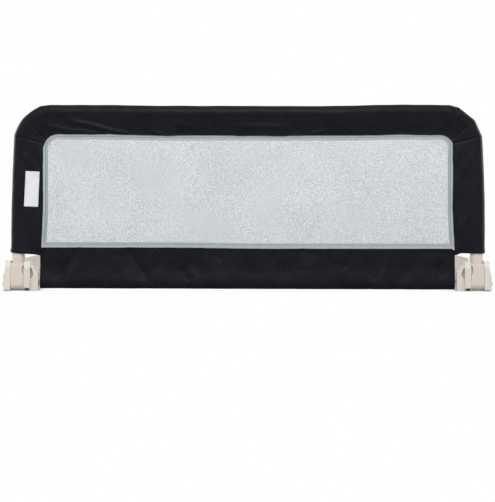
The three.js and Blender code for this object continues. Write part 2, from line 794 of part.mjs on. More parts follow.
// Base
addPair('hinge_bracket', hingeBracket(), creamPlastic);
addPair('base_tube', baseTube(), creamPaint);
addPiece('base_joiner', baseJoiner(), creamPlastic());
addPair('arm_grip', grip('y', armGripStart, [armX, 0, armZ]), greyRubber);
addPair('rear_grip', grip('x', rearGripStart, [0, armReach, armZ]), greyRubber);
addPair('arm_screw', screw('x', -1, housingFace - clearance, [0, armScrewPlace, armZ]), brightSteel);
const joinerTop = armZ + armBore + joinerWall + clearance;
addPair('joiner_screw', screw('z', 1, joinerTop, [joinerScrewPlace, armReach, 0]), brightSteel);

// Pivots
addPair('pivot_pin', pivotPin(), brightSteel);
addPair('pin_clip', pinClip(), brightSteel);
addPair('pin_cap', pinCap(), creamPlastic);

// Guard
addPair('hinge_foot', hingeFoot(), creamPlastic);
addPair('foot_screw', screw('y', 1, footCollar + clearance, [legX, 0, footScrewHeight]), brightSteel);
addPair('guard_leg', guardLeg(), creamPaint);
addPiece('guard_top_tube', topTube(), creamPaint());
const topScrewLine = [topJoint + topScrewInset, 0, topTubeZ];
addPair('top_screw', screw('y', 1, legRadius, topScrewLine), brightSteel);
addPair('side_cover', sideCover(), blackCloth);
addPiece('top_cover', topCover(), blackCloth());
addPiece('net_panel', netPanel(), finish(0xd4d6da, 0.9));
addPiece('net_binding', netBinding(), finish(0xa5afaf, 0.8));
addPiece('cover_skirt', coverSkirt(), blackCloth());

// The bare white label, sewn on the slanting front of the left sleeve.
const label = addPiece(
  'side_label',
  new THREE.BoxGeometry(labelWidth, labelThickness, labelHeight),
  finish(0xe2e4e8, 0.7),
);
const sideSection = coverSection(legX - bandEdgeX).outer;
const slant = [sideSection[0], sideSection.at(-1)];
const slantAngle = Math.atan2(slant[0].y - slant[1].y, slant[1].x - slant[0].x);
const lean = legLean * (labelCentre - leanStart) / (bendZ - leanStart);
const labelReach = labelInset - lean;
const labelFace = slant[1].y + (slant[1].x - labelReach) * Math.tan(slantAngle);
const labelLift = (clearance + labelThickness / 2) / Math.cos(slantAngle);
label.position.set(labelInset - legX, -labelFace - labelLift, labelCentre);
label.rotation.set(0, labelTilt, slantAngle, 'ZYX');

// The origin lies under the middle of the whole rail, on the floor.
const bounds = new THREE.Box3().setFromObject(rail, true);
const middle = bounds.getCenter(new THREE.Vector3());
rail.position.set(-middle.x, -middle.y, -bounds.min.z);

export default rail;
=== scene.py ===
# Looks of a folding bed guard rail: fabric cover with a net window on a tube frame, two moulded hinge
# brackets and an L-shaped tube base. Metres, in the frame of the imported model.
import math

import bmesh
import bpy
import numpy as np
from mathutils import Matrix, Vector, noise


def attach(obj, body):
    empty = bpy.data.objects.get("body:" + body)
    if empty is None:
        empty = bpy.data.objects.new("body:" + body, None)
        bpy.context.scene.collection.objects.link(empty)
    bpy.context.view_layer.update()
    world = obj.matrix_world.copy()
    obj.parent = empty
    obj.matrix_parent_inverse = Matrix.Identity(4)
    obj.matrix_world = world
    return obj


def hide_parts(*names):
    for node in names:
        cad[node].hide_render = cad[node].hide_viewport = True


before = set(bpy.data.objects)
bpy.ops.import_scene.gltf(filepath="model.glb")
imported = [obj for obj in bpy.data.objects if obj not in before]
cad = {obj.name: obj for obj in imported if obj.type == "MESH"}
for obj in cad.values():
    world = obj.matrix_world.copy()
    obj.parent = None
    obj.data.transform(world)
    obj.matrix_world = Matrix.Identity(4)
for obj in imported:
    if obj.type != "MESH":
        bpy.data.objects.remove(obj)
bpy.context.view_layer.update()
mm = 0.001
planeY = -0.2437                # the guard stands in this plane
legX = 498 * mm                 # the guard's legs and the brackets
armX = 465 * mm                 # the base tubes that run back from the brackets
rearY = 246.3 * mm              # the base tubes' run across
tubeZ = 11.8 * mm               # the base tubes' height over the sole
sides = ((1, "right"), (-1, "left"))


# Helpers for scene, meshes and shaping
def linked(name, data):
    thing = bpy.data.objects.new(name, data)
    bpy.context.scene.collection.objects.link(thing)
    return thing


def gridPiece(name, rows, uvs, material):
    # a sheet from rows of points, with a cloth map measured in metres
    width = len(rows[0])
    mesh = bpy.data.meshes.new(name)
    faces = [
        (i * width + j, i * width + j + 1, (i + 1) * width + j + 1, (i + 1) * width + j)
        for i in range(len(rows) - 1) for j in range(width - 1)
    ]
    mesh.from_pydata([tuple(p) for row in rows for p in row], [], faces)
    layer = mesh.uv_layers.new(name="cloth")
    flat = [tuple(p) for row in uvs for p in row]
    index = np.empty(len(mesh.loops), dtype=np.int32)
    mesh.loops.foreach_get("vertex_index", index)
    layer.data.foreach_set("uv", np.array(flat, dtype=np.float32)[index].ravel())
    mesh.polygons.foreach_set("use_smooth", [True] * len(mesh.polygons))
    mesh.materials.append(material)
    return linked(name, mesh)


def applied(piece):
    # bakes the modifiers of a piece into its mesh
    baked = bpy.data.meshes.new_from_object(piece.evaluated_get(bpy.context.evaluated_depsgraph_get()))
    old = piece.data
    piece.modifiers.clear()
    piece.data = baked
    baked.name = piece.name
    bpy.data.meshes.remove(old)


def thickened(piece, thickness, offset=-1):
    shell = piece.modifiers.new("thickness", "SOLIDIFY")
    shell.thickness = thickness
    shell.offset = offset
    shell.use_even_offset = True
    shell.use_quality_normals = True
    bpy.context.view_layer.update()
    applied(piece)


def facedOut(mesh, weld=None):
    # all faces turned outwards, after points closer than the weld are joined
    form = bmesh.new()
    form.from_mesh(mesh)
    if weld:
        bmesh.ops.remove_doubles(form, verts=form.verts, dist=weld)
    bmesh.ops.recalc_face_normals(form, faces=form.faces)
    form.to_mesh(mesh)
    form.free()


def frontSheet(name, heights, shares, place, material, thickness, offset=-1):
    # a thick sheet that faces the front; place gives a point and where it lies on the flat cloth
    grid = [[place(share, height) for share in shares] for height in heights]
    rows, uvs = ([[pair[k] for pair in row] for row in grid] for k in (0, 1))
    piece = gridPiece(name, rows, uvs, material)
    if piece.data.polygons[0].normal.y > 0:
        piece.data.flip_normals()
    thickened(piece, thickness, offset)
    return piece


def spread(low, high, count):
    return [low + (high - low) * i / count for i in range(count + 1)]


def smoothStep(value):
    value = min(1, max(0, value))
    return value * value * (3 - 2 * value)


def bell(distance, width):
    return math.exp(-(distance / width) ** 2)


def ripple(place, scale, seed):
    # smooth noise with about this many bumps in a metre; every use has a seed of its own
    return noise.noise(Vector((place[0] * scale, place[1] * scale, seed * 7.31)))


def tapered(share, past, run):
    # one along a line, and zero from a little past both of its ends
    return smoothStep((share + past) / run) * smoothStep((1 + past - share) / run)


def alongLine(start, end, x, z):
    # share of the way from start to end, and distance from the line; both ends in millimetres
    vx, vz = (end[0] - start[0]) * mm, (end[1] - start[1]) * mm
    dx, dz = x - start[0] * mm, z - start[1] * mm
    length = math.hypot(vx, vz)
    return (dx * vx + dz * vz) / length ** 2, (dx * vz - dz * vx) / length


# Helpers for shader nodes: an input takes a value or another node's output
def feed(tree, socket, value):
    if isinstance(value, bpy.types.NodeSocket):
        tree.links.new(value, socket)
    else:
        socket.default_value = value


def addNode(tree, kind, inputs=None, **settings):
    node = tree.nodes.new("ShaderNode" + kind)
    for key, value in settings.items():
        setattr(node, key, value)
    for key, value in (inputs or {}).items():
        feed(tree, node.inputs[key], value)
    return node


def combined(tree, kind, first, second=0.0, clamp=False):
    return addNode(tree, "Math", {0: first, 1: second}, operation=kind, use_clamp=clamp).outputs[0]


def times(tree, first, second):
    return combined(tree, "MULTIPLY", first, second)


def waveAlong(tree, run, length):
    return combined(tree, "SINE", times(tree, run, 2 * math.pi / length))


def ranged(tree, source, out=(0, 1), span=(0, 1), **settings):
    inputs = {0: source, 1: span[0], 2: span[1], 3: out[0], 4: out[1]}
    return addNode(tree, "MapRange", inputs, **settings).outputs[0]


def blended(tree, share, first, second):
    return addNode(tree, "Mix", {0: share, 6: first, 7: second}, data_type="RGBA").outputs[2]


def objectPlace(tree):
    return addNode(tree, "TexCoord").outputs["Object"]


def clothPlace(tree):
    # metres around or across the cloth, and along it
    place = addNode(tree, "UVMap", uv_map="cloth").outputs[0]
    split = addNode(tree, "SeparateXYZ", {0: place})
    return split.outputs[0], split.outputs[1]


def noiseAt(tree, place, scale, detail, roughness=0.5):
    inputs = {"Vector": place, "Scale": scale, "Detail": detail, "Roughness": roughness}
    return addNode(tree, "TexNoise", inputs).outputs[0]


def bumped(tree, height, strength, distance, **over):
    inputs = {"Height": height, "Strength": strength, "Distance": distance, **over}
    return addNode(tree, "Bump", inputs).outputs[0]


def surface(name, **uniform):
    # values that are the same all over the surface stand on the shader itself
    material = bpy.data.materials.new(name)
    material.use_nodes = True
    tree = material.node_tree
    shader = tree.nodes["Principled BSDF"]
    dress(tree, shader, **uniform)
    return material, tree, shader


def dress(tree, shader, **inputs):
    for key, value in inputs.items():
        feed(tree, shader.inputs[key.replace("_", " ")], value)


# Camera
cameraSpec = {
    "distance": 2.5, "height": 0.1791, "lens": 82.47, "sensor": 36, "roll": -0.06,
    "shift": -42.6 / 502,       # the picture's middle lies 42.6 of its 502 pixels below eye level
}


def buildCamera():
    spec = cameraSpec
    data = bpy.data.cameras.new("camera")
    data.lens = spec["lens"]
    data.sensor_width = spec["sensor"]
    data.shift_y = spec["shift"]
    data.clip_end = 50
    camera = linked("camera", data)
    camera.location = (0, planeY - spec["distance"], spec["height"])
    camera.rotation_euler = (math.pi / 2, math.radians(spec["roll"]), 0)
    bpy.context.scene.camera = camera
    bpy.context.scene.view_settings.view_transform = "Standard"


buildCamera()


# Studio: a white world, a floor that keeps the object's soft shadow, and area lamps
studioSpec = {
    "horizon": 0.12, "overhead": 0.9, "domeStart": 0.3,     # the dome's strength, and where it begins to rise
    "halfFloor": 6, "bounce": 0.5, "shadow": 0.55, "shadowReach": 0.09, "shadowSpan": (0.08, 0.6),
}
# Place, target, size and watts; every lamp but the key stands on both sides
lampSpec = {
    "key": ((-0.05, -2.2, 1.85), (0, planeY, 0.2), 1.3, 43.5),
    "side": ((2.0, -2.1, 0.8), (0, planeY, 0.15), 0.9, 9.2),
    "back": ((0.9, 1.3, 0.55), (-0.4, 0, 0.1), 0.9, 8),
    "far": ((1.6, 0.35, 0.6), (-0.46, -0.1, 0.05), 0.8, 15),
}


def buildWorld():
    spec = studioSpec
    world = bpy.data.worlds.new("studio")
    bpy.context.scene.world = world
    world.use_nodes = True
    tree = world.node_tree
    tree.nodes.clear()
    aim = addNode(tree, "TexCoord").outputs["Generated"]
    upward = addNode(tree, "SeparateXYZ", {0: aim}).outputs[2]
    dome = ranged(tree, upward, (spec["horizon"], spec["overhead"]), (spec["domeStart"], 1))
    soft = addNode(tree, "Background", {"Color": (0.93, 0.95, 1, 1), "Strength": dome}).outputs[0]
    white = addNode(tree, "Background", {"Color": (1, 1, 1, 1)}).outputs[0]
    ray = addNode(tree, "LightPath").outputs
    seen = combined(tree, "MAXIMUM", ray["Is Camera Ray"], ray["Is Transmission Ray"])
    mix = addNode(tree, "MixShader", {0: seen, 1: soft, 2: white}).outputs[0]
    addNode(tree, "OutputWorld", {"Surface": mix})


def buildFloor():
    spec = studioSpec
    half = spec["halfFloor"]
    corners = [(-half, -half, 0), (half, -half, 0), (half, half, 0), (-half, half, 0)]
    mesh = bpy.data.meshes.new("floor")
    mesh.from_pydata(corners, [], [(0, 1, 2, 3)])
    floor = linked("floor", mesh)
    paper = bpy.data.materials.new("studioFloor")
    paper.use_nodes = True
    tree = paper.node_tree
    tree.nodes.clear()
    ray = addNode(tree, "LightPath").outputs
    below = addNode(tree, "NewGeometry").outputs["Backfacing"]
    near = addNode(tree, "AmbientOcclusion", {"Distance": spec["shadowReach"]}, samples=12).outputs["AO"]
    fall = ranged(tree, near, (spec["shadow"], 1), spec["shadowSpan"])
    # The camera sees the white world and the folded guard through the floor, and lamplight passes it
    shaded = addNode(tree, "BsdfTransparent", {"Color": fall}).outputs[0]
    clear = addNode(tree, "BsdfTransparent").outputs[0]
    bounce = addNode(tree, "BsdfDiffuse", {"Color": (spec["bounce"],) * 3 + (1,)}).outputs[0]
    above = addNode(tree, "MixShader", {0: ray["Is Camera Ray"], 1: bounce, 2: shaded}).outputs[0]
    passes = combined(tree, "MAXIMUM", ray["Is Shadow Ray"], below)
    mix = addNode(tree, "MixShader", {0: passes, 1: above, 2: clear}).outputs[0]
    addNode(tree, "OutputMaterial", {"Surface": mix})
    mesh.materials.append(paper)


def buildLamps():
    for name, (place, target, size, watts) in lampSpec.items():
        copies = ((1, ""),) if name == "key" else ((-1, "Left"), (1, "Right"))
        for side, ending in copies:
            data = bpy.data.lights.new(name + ending, "AREA")
            data.energy = watts
            data.size = size
            light = linked(name + ending, data)
            light.location = (place[0] * side, place[1], place[2])
            aim = Vector((target[0] * side, target[1], target[2])) - light.location
            light.rotation_euler = aim.to_track_quat("-Z", "Y").to_euler()
            light.visible_camera = False


buildWorld()
buildFloor()
buildLamps()
print("stage: camera, floor and lights ready")


# Black cloth of the cover and the skirt; each noise has its scale, detail and roughness
clothSpec = {
    "colour": (0.0084, 0.0074, 0.0114, 1), "faded": (0.0028, 0.0023, 0.0044, 1), "sheen": 0.02, "gloss": 0.15,
    "rough": (0.45, 0.60), "slub": (400, 3), "cloud": (38, 5, 0.65), "thread": 0.6 * mm, "weave": 0.06,
    "creases": (85, 5, 0.6), "creaseStrength": 0.6, "creaseDepth": 1.1 * mm,
}


def wovenCloth(name, spec):
    material, tree, shader = surface(
        name, Sheen_Weight=spec["sheen"], Sheen_Roughness=0.45, Sheen_Tint=(0.8, 0.85, 1, 1),
        Specular_IOR_Level=spec["gloss"], Specular_Tint=(0.88, 0.93, 1, 1),
    )
    across, along = clothPlace(tree)
    warp, weft = (waveAlong(tree, run, spec["thread"]) for run in (across, along))
    weave = times(tree, warp, weft)                 # over and under, as in a plain weave
    place = objectPlace(tree)
    slub, cloud, creases = (noiseAt(tree, place, *spec[key]) for key in ("slub", "cloud", "creases"))
    fine = ranged(tree, slub, (-0.3, 0.45), (0.35, 0.65))
    broad = ranged(tree, cloud, (0, 0.75), (0.32, 0.68))
    share = combined(tree, "ADD", broad, fine, True)
    height = combined(tree, "ADD", weave, times(tree, slub, 1.2))
    threads = bumped(tree, height, spec["weave"], spec["thread"] * 0.35)
    dress(
        tree, shader, Base_Color=blended(tree, share, spec["colour"], spec["faded"]),
        Roughness=ranged(tree, cloud, spec["rough"]),
        Normal=bumped(tree, creases, spec["creaseStrength"], spec["creaseDepth"], Normal=threads),
    )
    return material


blackCloth = wovenCloth("blackWeave", clothSpec)


# Fabric cover: one run of cloth round both legs and the top tube
coverSpec = {
    "sleeveEnd": 82.2 * mm, "leanStart": 115 * mm, "bend": (424 * mm, 314.3 * mm), "topZ": 386.3 * mm,
    "edgeX": 445.8 * mm, "edgeZ": 337.3 * mm, "windowCorner": {-1: 34.3 * mm, 1: 28.3 * mm},
    "radius": 15.3 * mm, "legRadius": {-1: 14.1 * mm, 1: 16.7 * mm}, "legBulge": {-1: 1.5 * mm, 1: 1.8 * mm},
    "pleatRadius": (14.2 * mm, 14.4 * mm, 15.3 * mm), "flatShare": 0.87, "halfGap": 2.3 * mm, "lap": 1.2 * mm,
    "slope": {-1: 0.096, 1: 0.0}, "endFlare": {-1: 2.2 * mm, 1: 0.7 * mm}, "flareShare": 0.45,
    "endDrop": {-1: 1.0 * mm, 1: 4.2 * mm}, "dropRun": 14 * mm, "dropWidth": 13 * mm,
    "endCurl": 1.5 * mm, "curlRun": 2.4 * mm, "topRise": {-1: 2.3 * mm, 1: 4.4 * mm},
    "riseStart": 20 * mm, "riseEnd": {-1: 60 * mm, 1: 100 * mm}, "riseFall": 200 * mm,
    "pleatDepth": 1.5 * mm, "pleatWidth": 2.0 * mm, "pleatReach": 14 * mm, "creaseStart": 13 * mm,
    "lip": 0.5 * mm, "wave": 1.9 * mm, "pucker": 0.88 * mm, "puckerReach": 13 * mm,
    "slack": 0.6 * mm, "broadSlack": 0.9 * mm,
    "thickness": 0.8 * mm, "step": 3.6 * mm, "cornerStep": 1.6 * mm, "arcSteps": 34, "flatSteps": 18,
    "crowding": {"end": 1.7, "leg": 1.25, "top": 1.25}, "ridgeTaper": (0.1, 0.35),
    "puckerFrom": 2.5 * mm, "heldRun": 2 * mm,
}
# The three pleats of each corner, up from the leg: angle, reach from the bend's centre, bulge after it
coverPleats = {
    1: ((14.7, 88.3 * mm, 0.2 * mm), (39.0, 89.6 * mm, 0.2 * mm), (68.5, 91.3 * mm, 0)),
    -1: ((15.2, 85.2 * mm, 2.3 * mm), (44.1, 86.9 * mm, 2.1 * mm), (74.6, 90.0 * mm, 0)),
}
# Tension ridges that the front shows: from, to, half width, height, all in millimetres
coverRidges = [
    ((-388, 371), (-312, 354), 4.5, 4.4), ((-330, 358), (-258, 340), 3.8, 5.0),
    ((-430, 357), (-362, 345), 4.5, 3.6), ((-372, 350), (-322, 340), 3.5, 2.2),
    ((-214, 351), (-188, 339), 4.0, 3.2), ((-168, 370), (-128, 358), 5.0, 2.6),
    ((-30, 359), (92, 357), 5.0, 2.9), ((138, 341), (178, 351), 4.0, 3.2),
    ((320, 365), (402, 365), 4.5, 1.9), ((-486, 300), (-452, 250), 5.0, 2.6),
    ((-484, 190), (-456, 110), 6.0, 2.8), ((-462, 330), (-450, 280), 4.5, 1.8),
    ((486, 296), (454, 236), 5.0, 2.6), ((480, 170), (456, 118), 6.0, 2.6),
    ((462, 325), (450, 270), 4.5, 1.8),
]
# How far the window's outline lies from an upright rectangle: wider at the foot, higher at both ends
windowSpec = {
    "left": -0.4 * mm, "right": 1.3 * mm, "sideStart": 380 * mm, "sideRun": 40 * mm,
    "flare": 4.0 * mm, "flareStart": 175 * mm, "flareRun": 81 * mm, "flareMost": 1.2, "flarePower": 1.25,
    "topUp": 1.2 * mm, "topLift": 2.4 * mm, "topStart": 190 * mm, "topRun": 150 * mm,
    "upperStart": 250 * mm, "upperRun": 60 * mm, "lowerStart": 150 * mm, "lowerRun": 50 * mm,
    "footLift": 2.2 * mm, "footStart": 60 * mm, "footRun": 240 * mm,
}


def coverKeys(side):
    # the path's corners: centre, direction to the window, radius of the tunnel, bulge on the way to the next
    spec = coverSpec
    stretch = 1 / math.cos(math.pi / 12)
    legRadius = spec["legRadius"][side]
    keys = [
        ((legX, spec["sleeveEnd"]), (-1, -spec["slope"][side]), legRadius, 0),
        ((legX, spec["leanStart"]), (-1, 0), legRadius, spec["legBulge"][side]),
    ]
    for (degrees, reach, bulge), radius in zip(coverPleats[side], spec["pleatRadius"]):
        away = (math.cos(math.radians(degrees)), math.sin(math.radians(degrees)))
        out = reach - radius * stretch
        centre = tuple(spec["bend"][i] + out * away[i] for i in range(2))
        keys.append((centre, (-away[0] * stretch, -away[1] * stretch), radius, bulge))
    keys.append(((0, spec["topZ"]), (0, -1), spec["radius"], 0))
    return keys


def footLift(x):                # the window's foot stands up on the left
    spec = windowSpec
    return spec["footLift"] * smoothStep((spec["footStart"] - x) / spec["footRun"])


def windowShift(x, z):
    spec = windowSpec
    toSide = smoothStep((abs(x) - spec["sideStart"]) / spec["sideRun"])
    out = spec["left"] if x < 0 else spec["right"]
    low = min(spec["flareMost"], max(0, (spec["flareStart"] - z) / spec["flareRun"]))
    out += spec["flare"] * low ** spec["flarePower"]
    lift = spec["topUp"] + spec["topLift"] * smoothStep((abs(x) - spec["topStart"]) / spec["topRun"])
    lift *= smoothStep((z - spec["upperStart"]) / spec["upperRun"])
    lift += footLift(x) * smoothStep((spec["lowerStart"] - z) / spec["lowerRun"])
    return out * toSide * (1 if x > 0 else -1), lift


def windowReach(side, centre, inward):
    # how far the window's rounded edge lies from a point of the path, found by halving
    spec = coverSpec
    corner = spec["windowCorner"][side]
    middle = (spec["edgeX"] - corner, spec["edgeZ"] - corner)
    low, high = 0, 80 * mm
    for _ in range(30):
        half = (low + high) / 2
        x, z = centre[0] + inward[0] * half, centre[1] + inward[1] * half
        over, lift = windowShift(side * x, z)
        dx, dz = x - side * over - middle[0], z - lift - middle[1]
        outside = math.hypot(dx, dz) if dx > 0 and dz > 0 else max(dx, dz)
        if outside > corner:
            low = half
        else:
            high = half
    return low


def coverSection(reach, radius):
    # points from the front seam round the tube to the back seam, x towards the window
    spec = coverSpec
    tip, gap = reach * spec["flatShare"], spec["halfGap"]
    start = math.atan2(gap, tip) + math.acos(radius / math.hypot(tip, gap))
    touch = (radius * math.cos(start), radius * math.sin(start))
    sweep = (2 * math.pi - 2 * start) / spec["arcSteps"]
    turns = [start + sweep * i for i in range(1, spec["arcSteps"])]
    arc = [(radius * math.cos(t), radius * math.sin(t)) for t in turns]
    lap = spec["lap"]           # the two layers hold the window's binding between them
    front = [(reach + lap, gap), (reach + lap / 2, gap), (reach - 2 * mm, gap), (reach - 4 * mm, gap)]
    shares = spread(0, 1, spec["flatSteps"])
    front += [(tip + (touch[0] - tip) * share, gap + (touch[1] - gap) * share) for share in shares]
    back = [(x, -y) for x, y in reversed(front)]
    points = [(x, -y) for x, y in front + arc + back]
    for _ in range(2):          # softens the tip where the two layers meet
        points = [points[0]] + [
            tuple((points[i - 1][k] + 2 * points[i][k] + points[i + 1][k]) / 4 for k in range(2))
            for i in range(1, len(points) - 1)
        ] + [points[-1]]
    return points


def coverStretch(side, low, high, kind):
    # the sections from one key of the path up to the next
    spec = coverSpec
    run = math.dist(low[0], high[0])
    steps = max(6, round(run / (spec["cornerStep"] if kind == "corner" else spec["step"])))
    sections = []
    for k in range(steps + (kind == "top")):
        share = k / steps
        if kind == "leg":       # more rows near the sleeve's end, and near the pleats
            share = 1 - (1 - share) ** spec["crowding"][kind]
        elif kind != "corner":
            share = share ** spec["crowding"][kind]
        centre, inward = (tuple(a + (b - a) * share for a, b in zip(low[n], high[n])) for n in (0, 1))
        length = math.hypot(*inward)
        bulge = low[3] * math.sin(math.pi * share) ** 0.8   # the cloth lies round the tube between two pleats
        centre = tuple(centre[n] - inward[n] / length * bulge for n in range(2))
        if kind == "top":       # the top stands up a little beside each corner
            fall = smoothStep((share * run - spec["riseEnd"][side]) / spec["riseFall"])
            rise = smoothStep(share * run / spec["riseStart"]) * (1 - fall)
            centre = (centre[0], centre[1] + spec["topRise"][side] * rise)
        radius = low[2] + (high[2] - low[2]) * share
        place = (side * centre[0], centre[1])
        reach = windowReach(side, centre, inward)
        reach += spec["wave"] * ripple(place, 17, 12) + 0.4 * spec["wave"] * ripple(place, 45, 13)
        drop = 0
        if kind == "end":       # the sleeve's end hangs lower next to the window
            drop = spec["endDrop"][side] * (1 - smoothStep(share * run / spec["dropRun"]))
            reach = centre[0] - spec["edgeX"] - side * windowShift(side * spec["edgeX"], centre[1])[0]
            radius += spec["endFlare"][side] * smoothStep(1 - share / spec["flareShare"])
            radius -= spec["endCurl"] * (1 - smoothStep(share * run / spec["curlRun"]))
        sections.append([
            [side * (centre[0] + inward[0] * x), y,
             centre[1] + inward[1] * x - drop * smoothStep((x - reach) / spec["dropWidth"] + 1)]
            for x, y in coverSection(reach, radius)
        ])
    return sections


def coverHalf(side):
    keys = coverKeys(side)
    kinds = ("end", "leg", "corner", "corner", "top")
    half = []
    for low, high, kind in zip(keys, keys[1:], kinds):
        half += coverStretch(side, low, high, kind)
    return half


def pleatPush(x, z):
    # each pleat is a crease with a low lip above it, deepest inside the edge
    spec = coverSpec
    depth, width = spec["pleatDepth"], spec["pleatWidth"]
    push = np.zeros(x.shape)
    for side, corner in coverPleats.items():
        for degrees, outermost, _ in corner:
            angle = math.radians(degrees)
            dx, dz = (x - side * spec["bend"][0]) * side, z - spec["bend"][1]
            line = -dx * math.sin(angle) + dz * math.cos(angle)       # signed distance from the pleat's line
            ahead = dx * math.cos(angle) + dz * math.sin(angle)
            near = (ahead > 0) & (np.abs(line) < spec["pleatReach"])
            inner = np.clip((outermost - ahead) / spec["creaseStart"], 0, 1)
            form = -depth * np.exp(-(line / width) ** 2)
            form += spec["lip"] * np.exp(-(line / width - 1.7) ** 2)
            push += np.where(near, form * inner ** 2 * (3 - 2 * inner), 0)
    return push


def ridgePush(x, z):
    push = 0
    for start, end, width, height in coverRidges:
        share, off = alongLine(start, end, x, z)
        push += height * mm * tapered(share, *coverSpec["ridgeTaper"]) * bell(off, width * mm)
    return push


def runLengths(points, axis):
    steps = np.linalg.norm(np.diff(points, axis=axis), axis=-1)
    first = np.zeros_like(steps.take([0], axis=axis))
    return np.concatenate([first, np.cumsum(steps, axis=axis)], axis=axis)


def buildCover():
    spec = coverSpec
    points = np.array(coverHalf(-1)[:-1] + coverHalf(1)[::-1])
    count, width = points.shape[:2]
    along = runLengths(points[:, width // 2], 0)
    around = runLengths(points, 1)
    normal = np.cross(np.gradient(points, axis=1), np.gradient(points, axis=0))
    normal /= np.linalg.norm(normal, axis=2, keepdims=True)
    if ((points - points.mean(axis=1, keepdims=True)) * normal).sum(axis=2).mean() < 0:
        normal = -normal
    fromSeam = np.minimum(around, around[:, -1:] - around)
    push = pleatPush(points[..., 0], points[..., 2])
    fade = np.exp(-fromSeam / spec["puckerReach"]) * np.clip(fromSeam / spec["puckerFrom"], 0, 1)
    for i, run in enumerate(along):
        for j in range(width):
            px, py, pz = points[i, j]
            turn = around[i, j]
            layer = 3.0 if j < width / 2 else 9.0
            wave = ripple((run, layer), 70, 1) + 0.6 * ripple((run, 5.0), 160, 2)
            push[i, j] += spec["pucker"] * wave * fade[i, j]
            push[i, j] += spec["slack"] * ripple((run * 0.5, turn), 42, 3)
            push[i, j] += spec["broadSlack"] * ripple((run * 0.35, turn * 0.8), 18, 20)
            if py < 0:
                push[i, j] += ridgePush(px, pz)
    push *= np.clip(fromSeam / spec["heldRun"], 0, 1)
    points = points + normal * push[..., None]
    points[..., 1] += planeY
    uvs = np.stack([around, np.repeat(along[:, None], width, axis=1)], axis=2)
    cover = gridPiece("fabric_cover", points.tolist(), uvs.tolist(), blackCloth)
    probe = cover.data.polygons[len(cover.data.polygons) // 2 - 1]
    outward = probe.normal.z if abs(probe.normal.z) > 0.3 else -probe.normal.y
    if outward < 0:
        cover.data.flip_normals()
    thickened(cover, spec["thickness"])
    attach(cover, "guard")
    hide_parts("side_cover_left", "side_cover_right", "top_cover")
    print("stage: fabric cover, %d points" % len(cover.data.vertices))
    return cover


cover = buildCover()


# Skirt: a hanging flap with a hem round three sides
skirtSpec = {
    "halfWidth": 451 * mm, "upperHalf": 447 * mm, "step": 89 * mm, "bottom": 4 * mm, "top": 91.7 * mm,
    "hem": 12.4 * mm, "sideHem": 10 * mm, "hemExtra": 0.45 * mm, "seamDepth": 0.5 * mm, "behind": 0.4 * mm,
    "thickness": 0.8 * mm, "tilt": 1.0 * mm, "wrinkle": 3.6 * mm, "fineWrinkle": 0.35 * mm,
    "gather": 0.5 * mm, "kickStart": 52 * mm, "kick": 3.6 * mm, "curl": 3.4 * mm,
    "hangRun": 60 * mm, "hangShare": (0.35, 0.9), "gatherRun": 9 * mm, "foldTaper": (0.15, 0.4),
    "liftFrom": 60 * mm, "liftRun": 30 * mm, "columns": 420, "rowsUp": 46,
}
# Valleys between the flap's soft folds: top place, bottom place, width, depth, in millimetres
skirtFolds = [
    ((-362, 90), (-420, 24), 7, 6.8), ((-336, 88), (-340, 34), 8, 2.6), ((-292, 62), (-296, 26), 7, 2.2),
    ((-262, 90), (-222, 26), 9, 7.0), ((-172, 90), (-198, 44), 7, 2.4), ((-148, 50), (-126, 20), 6, 4.4),
    ((-92, 90), (-120, 46), 6, 2.2), ((-78, 80), (-56, 66), 8, 2.6), ((6, 70), (-14, 40), 8, 1.8),
    ((108, 88), (150, 78), 8, 2.4), ((170, 78), (196, 54), 8, 2.6), ((227, 86), (210, 46), 4, 3.6),
    ((299, 84), (294, 44), 7, 2.4), ((268, 40), (276, 24), 7, 2.4), ((338, 64), (340, 20), 8, 3.0),
    ((360, 84), (444, 80), 6, 2.4), ((412, 58), (418, 26), 7, 2.8),
]


def skirtPush(x, z):            # how far the flap stands out, towards the front
    spec = skirtSpec
    hemTop = spec["bottom"] + spec["hem"]
    hang = smoothStep((spec["top"] - z) / spec["hangRun"])
    least, more = spec["hangShare"]
    out = spec["wrinkle"] * ripple((x, z * 0.35), 26, 4) * (least + more * hang)
    out += spec["fineWrinkle"] * ripple((x + z * 0.6, z), 60, 5)
    out += spec["gather"] * ripple((x, 1.7), 130, 6) * math.exp(-(spec["top"] - z) / spec["gatherRun"])
    for start, end, width, depth in skirtFolds:
        share, off = alongLine(start, end, x, z)
        if abs(off) < 3 * width * mm:
            taper = tapered(share, *spec["foldTaper"])
            out -= depth * mm * taper * math.exp(-math.hypot(off / (width * mm), 0.35))
    out += spec["kick"] * smoothStep((spec["kickStart"] - z) / (spec["kickStart"] - hemTop))
    return out - spec["curl"] * smoothStep((hemTop - z) / spec["hem"])


def skirtHalf(z):               # the flap is a little narrower above the brackets
    spec = skirtSpec
    narrower = smoothStep((z - spec["step"] + 1.5 * mm) / (3 * mm))
    return spec["halfWidth"] - (spec["halfWidth"] - spec["upperHalf"]) * narrower


def skirtDrop(share, z):        # it hangs a little lower on the right
    spec = skirtSpec
    return spec["tilt"] * share * (spec["top"] - z) / (spec["top"] - spec["bottom"])


def skirtPoint(share, z):
    spec = skirtSpec
    hemTop = spec["bottom"] + spec["hem"]
    x = skirtHalf(z) * share
    toSide = skirtHalf(z) - abs(x)
    y = planeY + spec["behind"] - skirtPush(x, z)
    y -= spec["hemExtra"] if z < hemTop or toSide < spec["sideHem"] else 0
    y += spec["seamDepth"] * bell(min(abs(z - hemTop), abs(toSide - spec["sideHem"])), 0.8 * mm)
    lift = footLift(x) * smoothStep((z - spec["liftFrom"]) / spec["liftRun"])
    return (x, y, z - skirtDrop(share, z) + lift), (x, z)


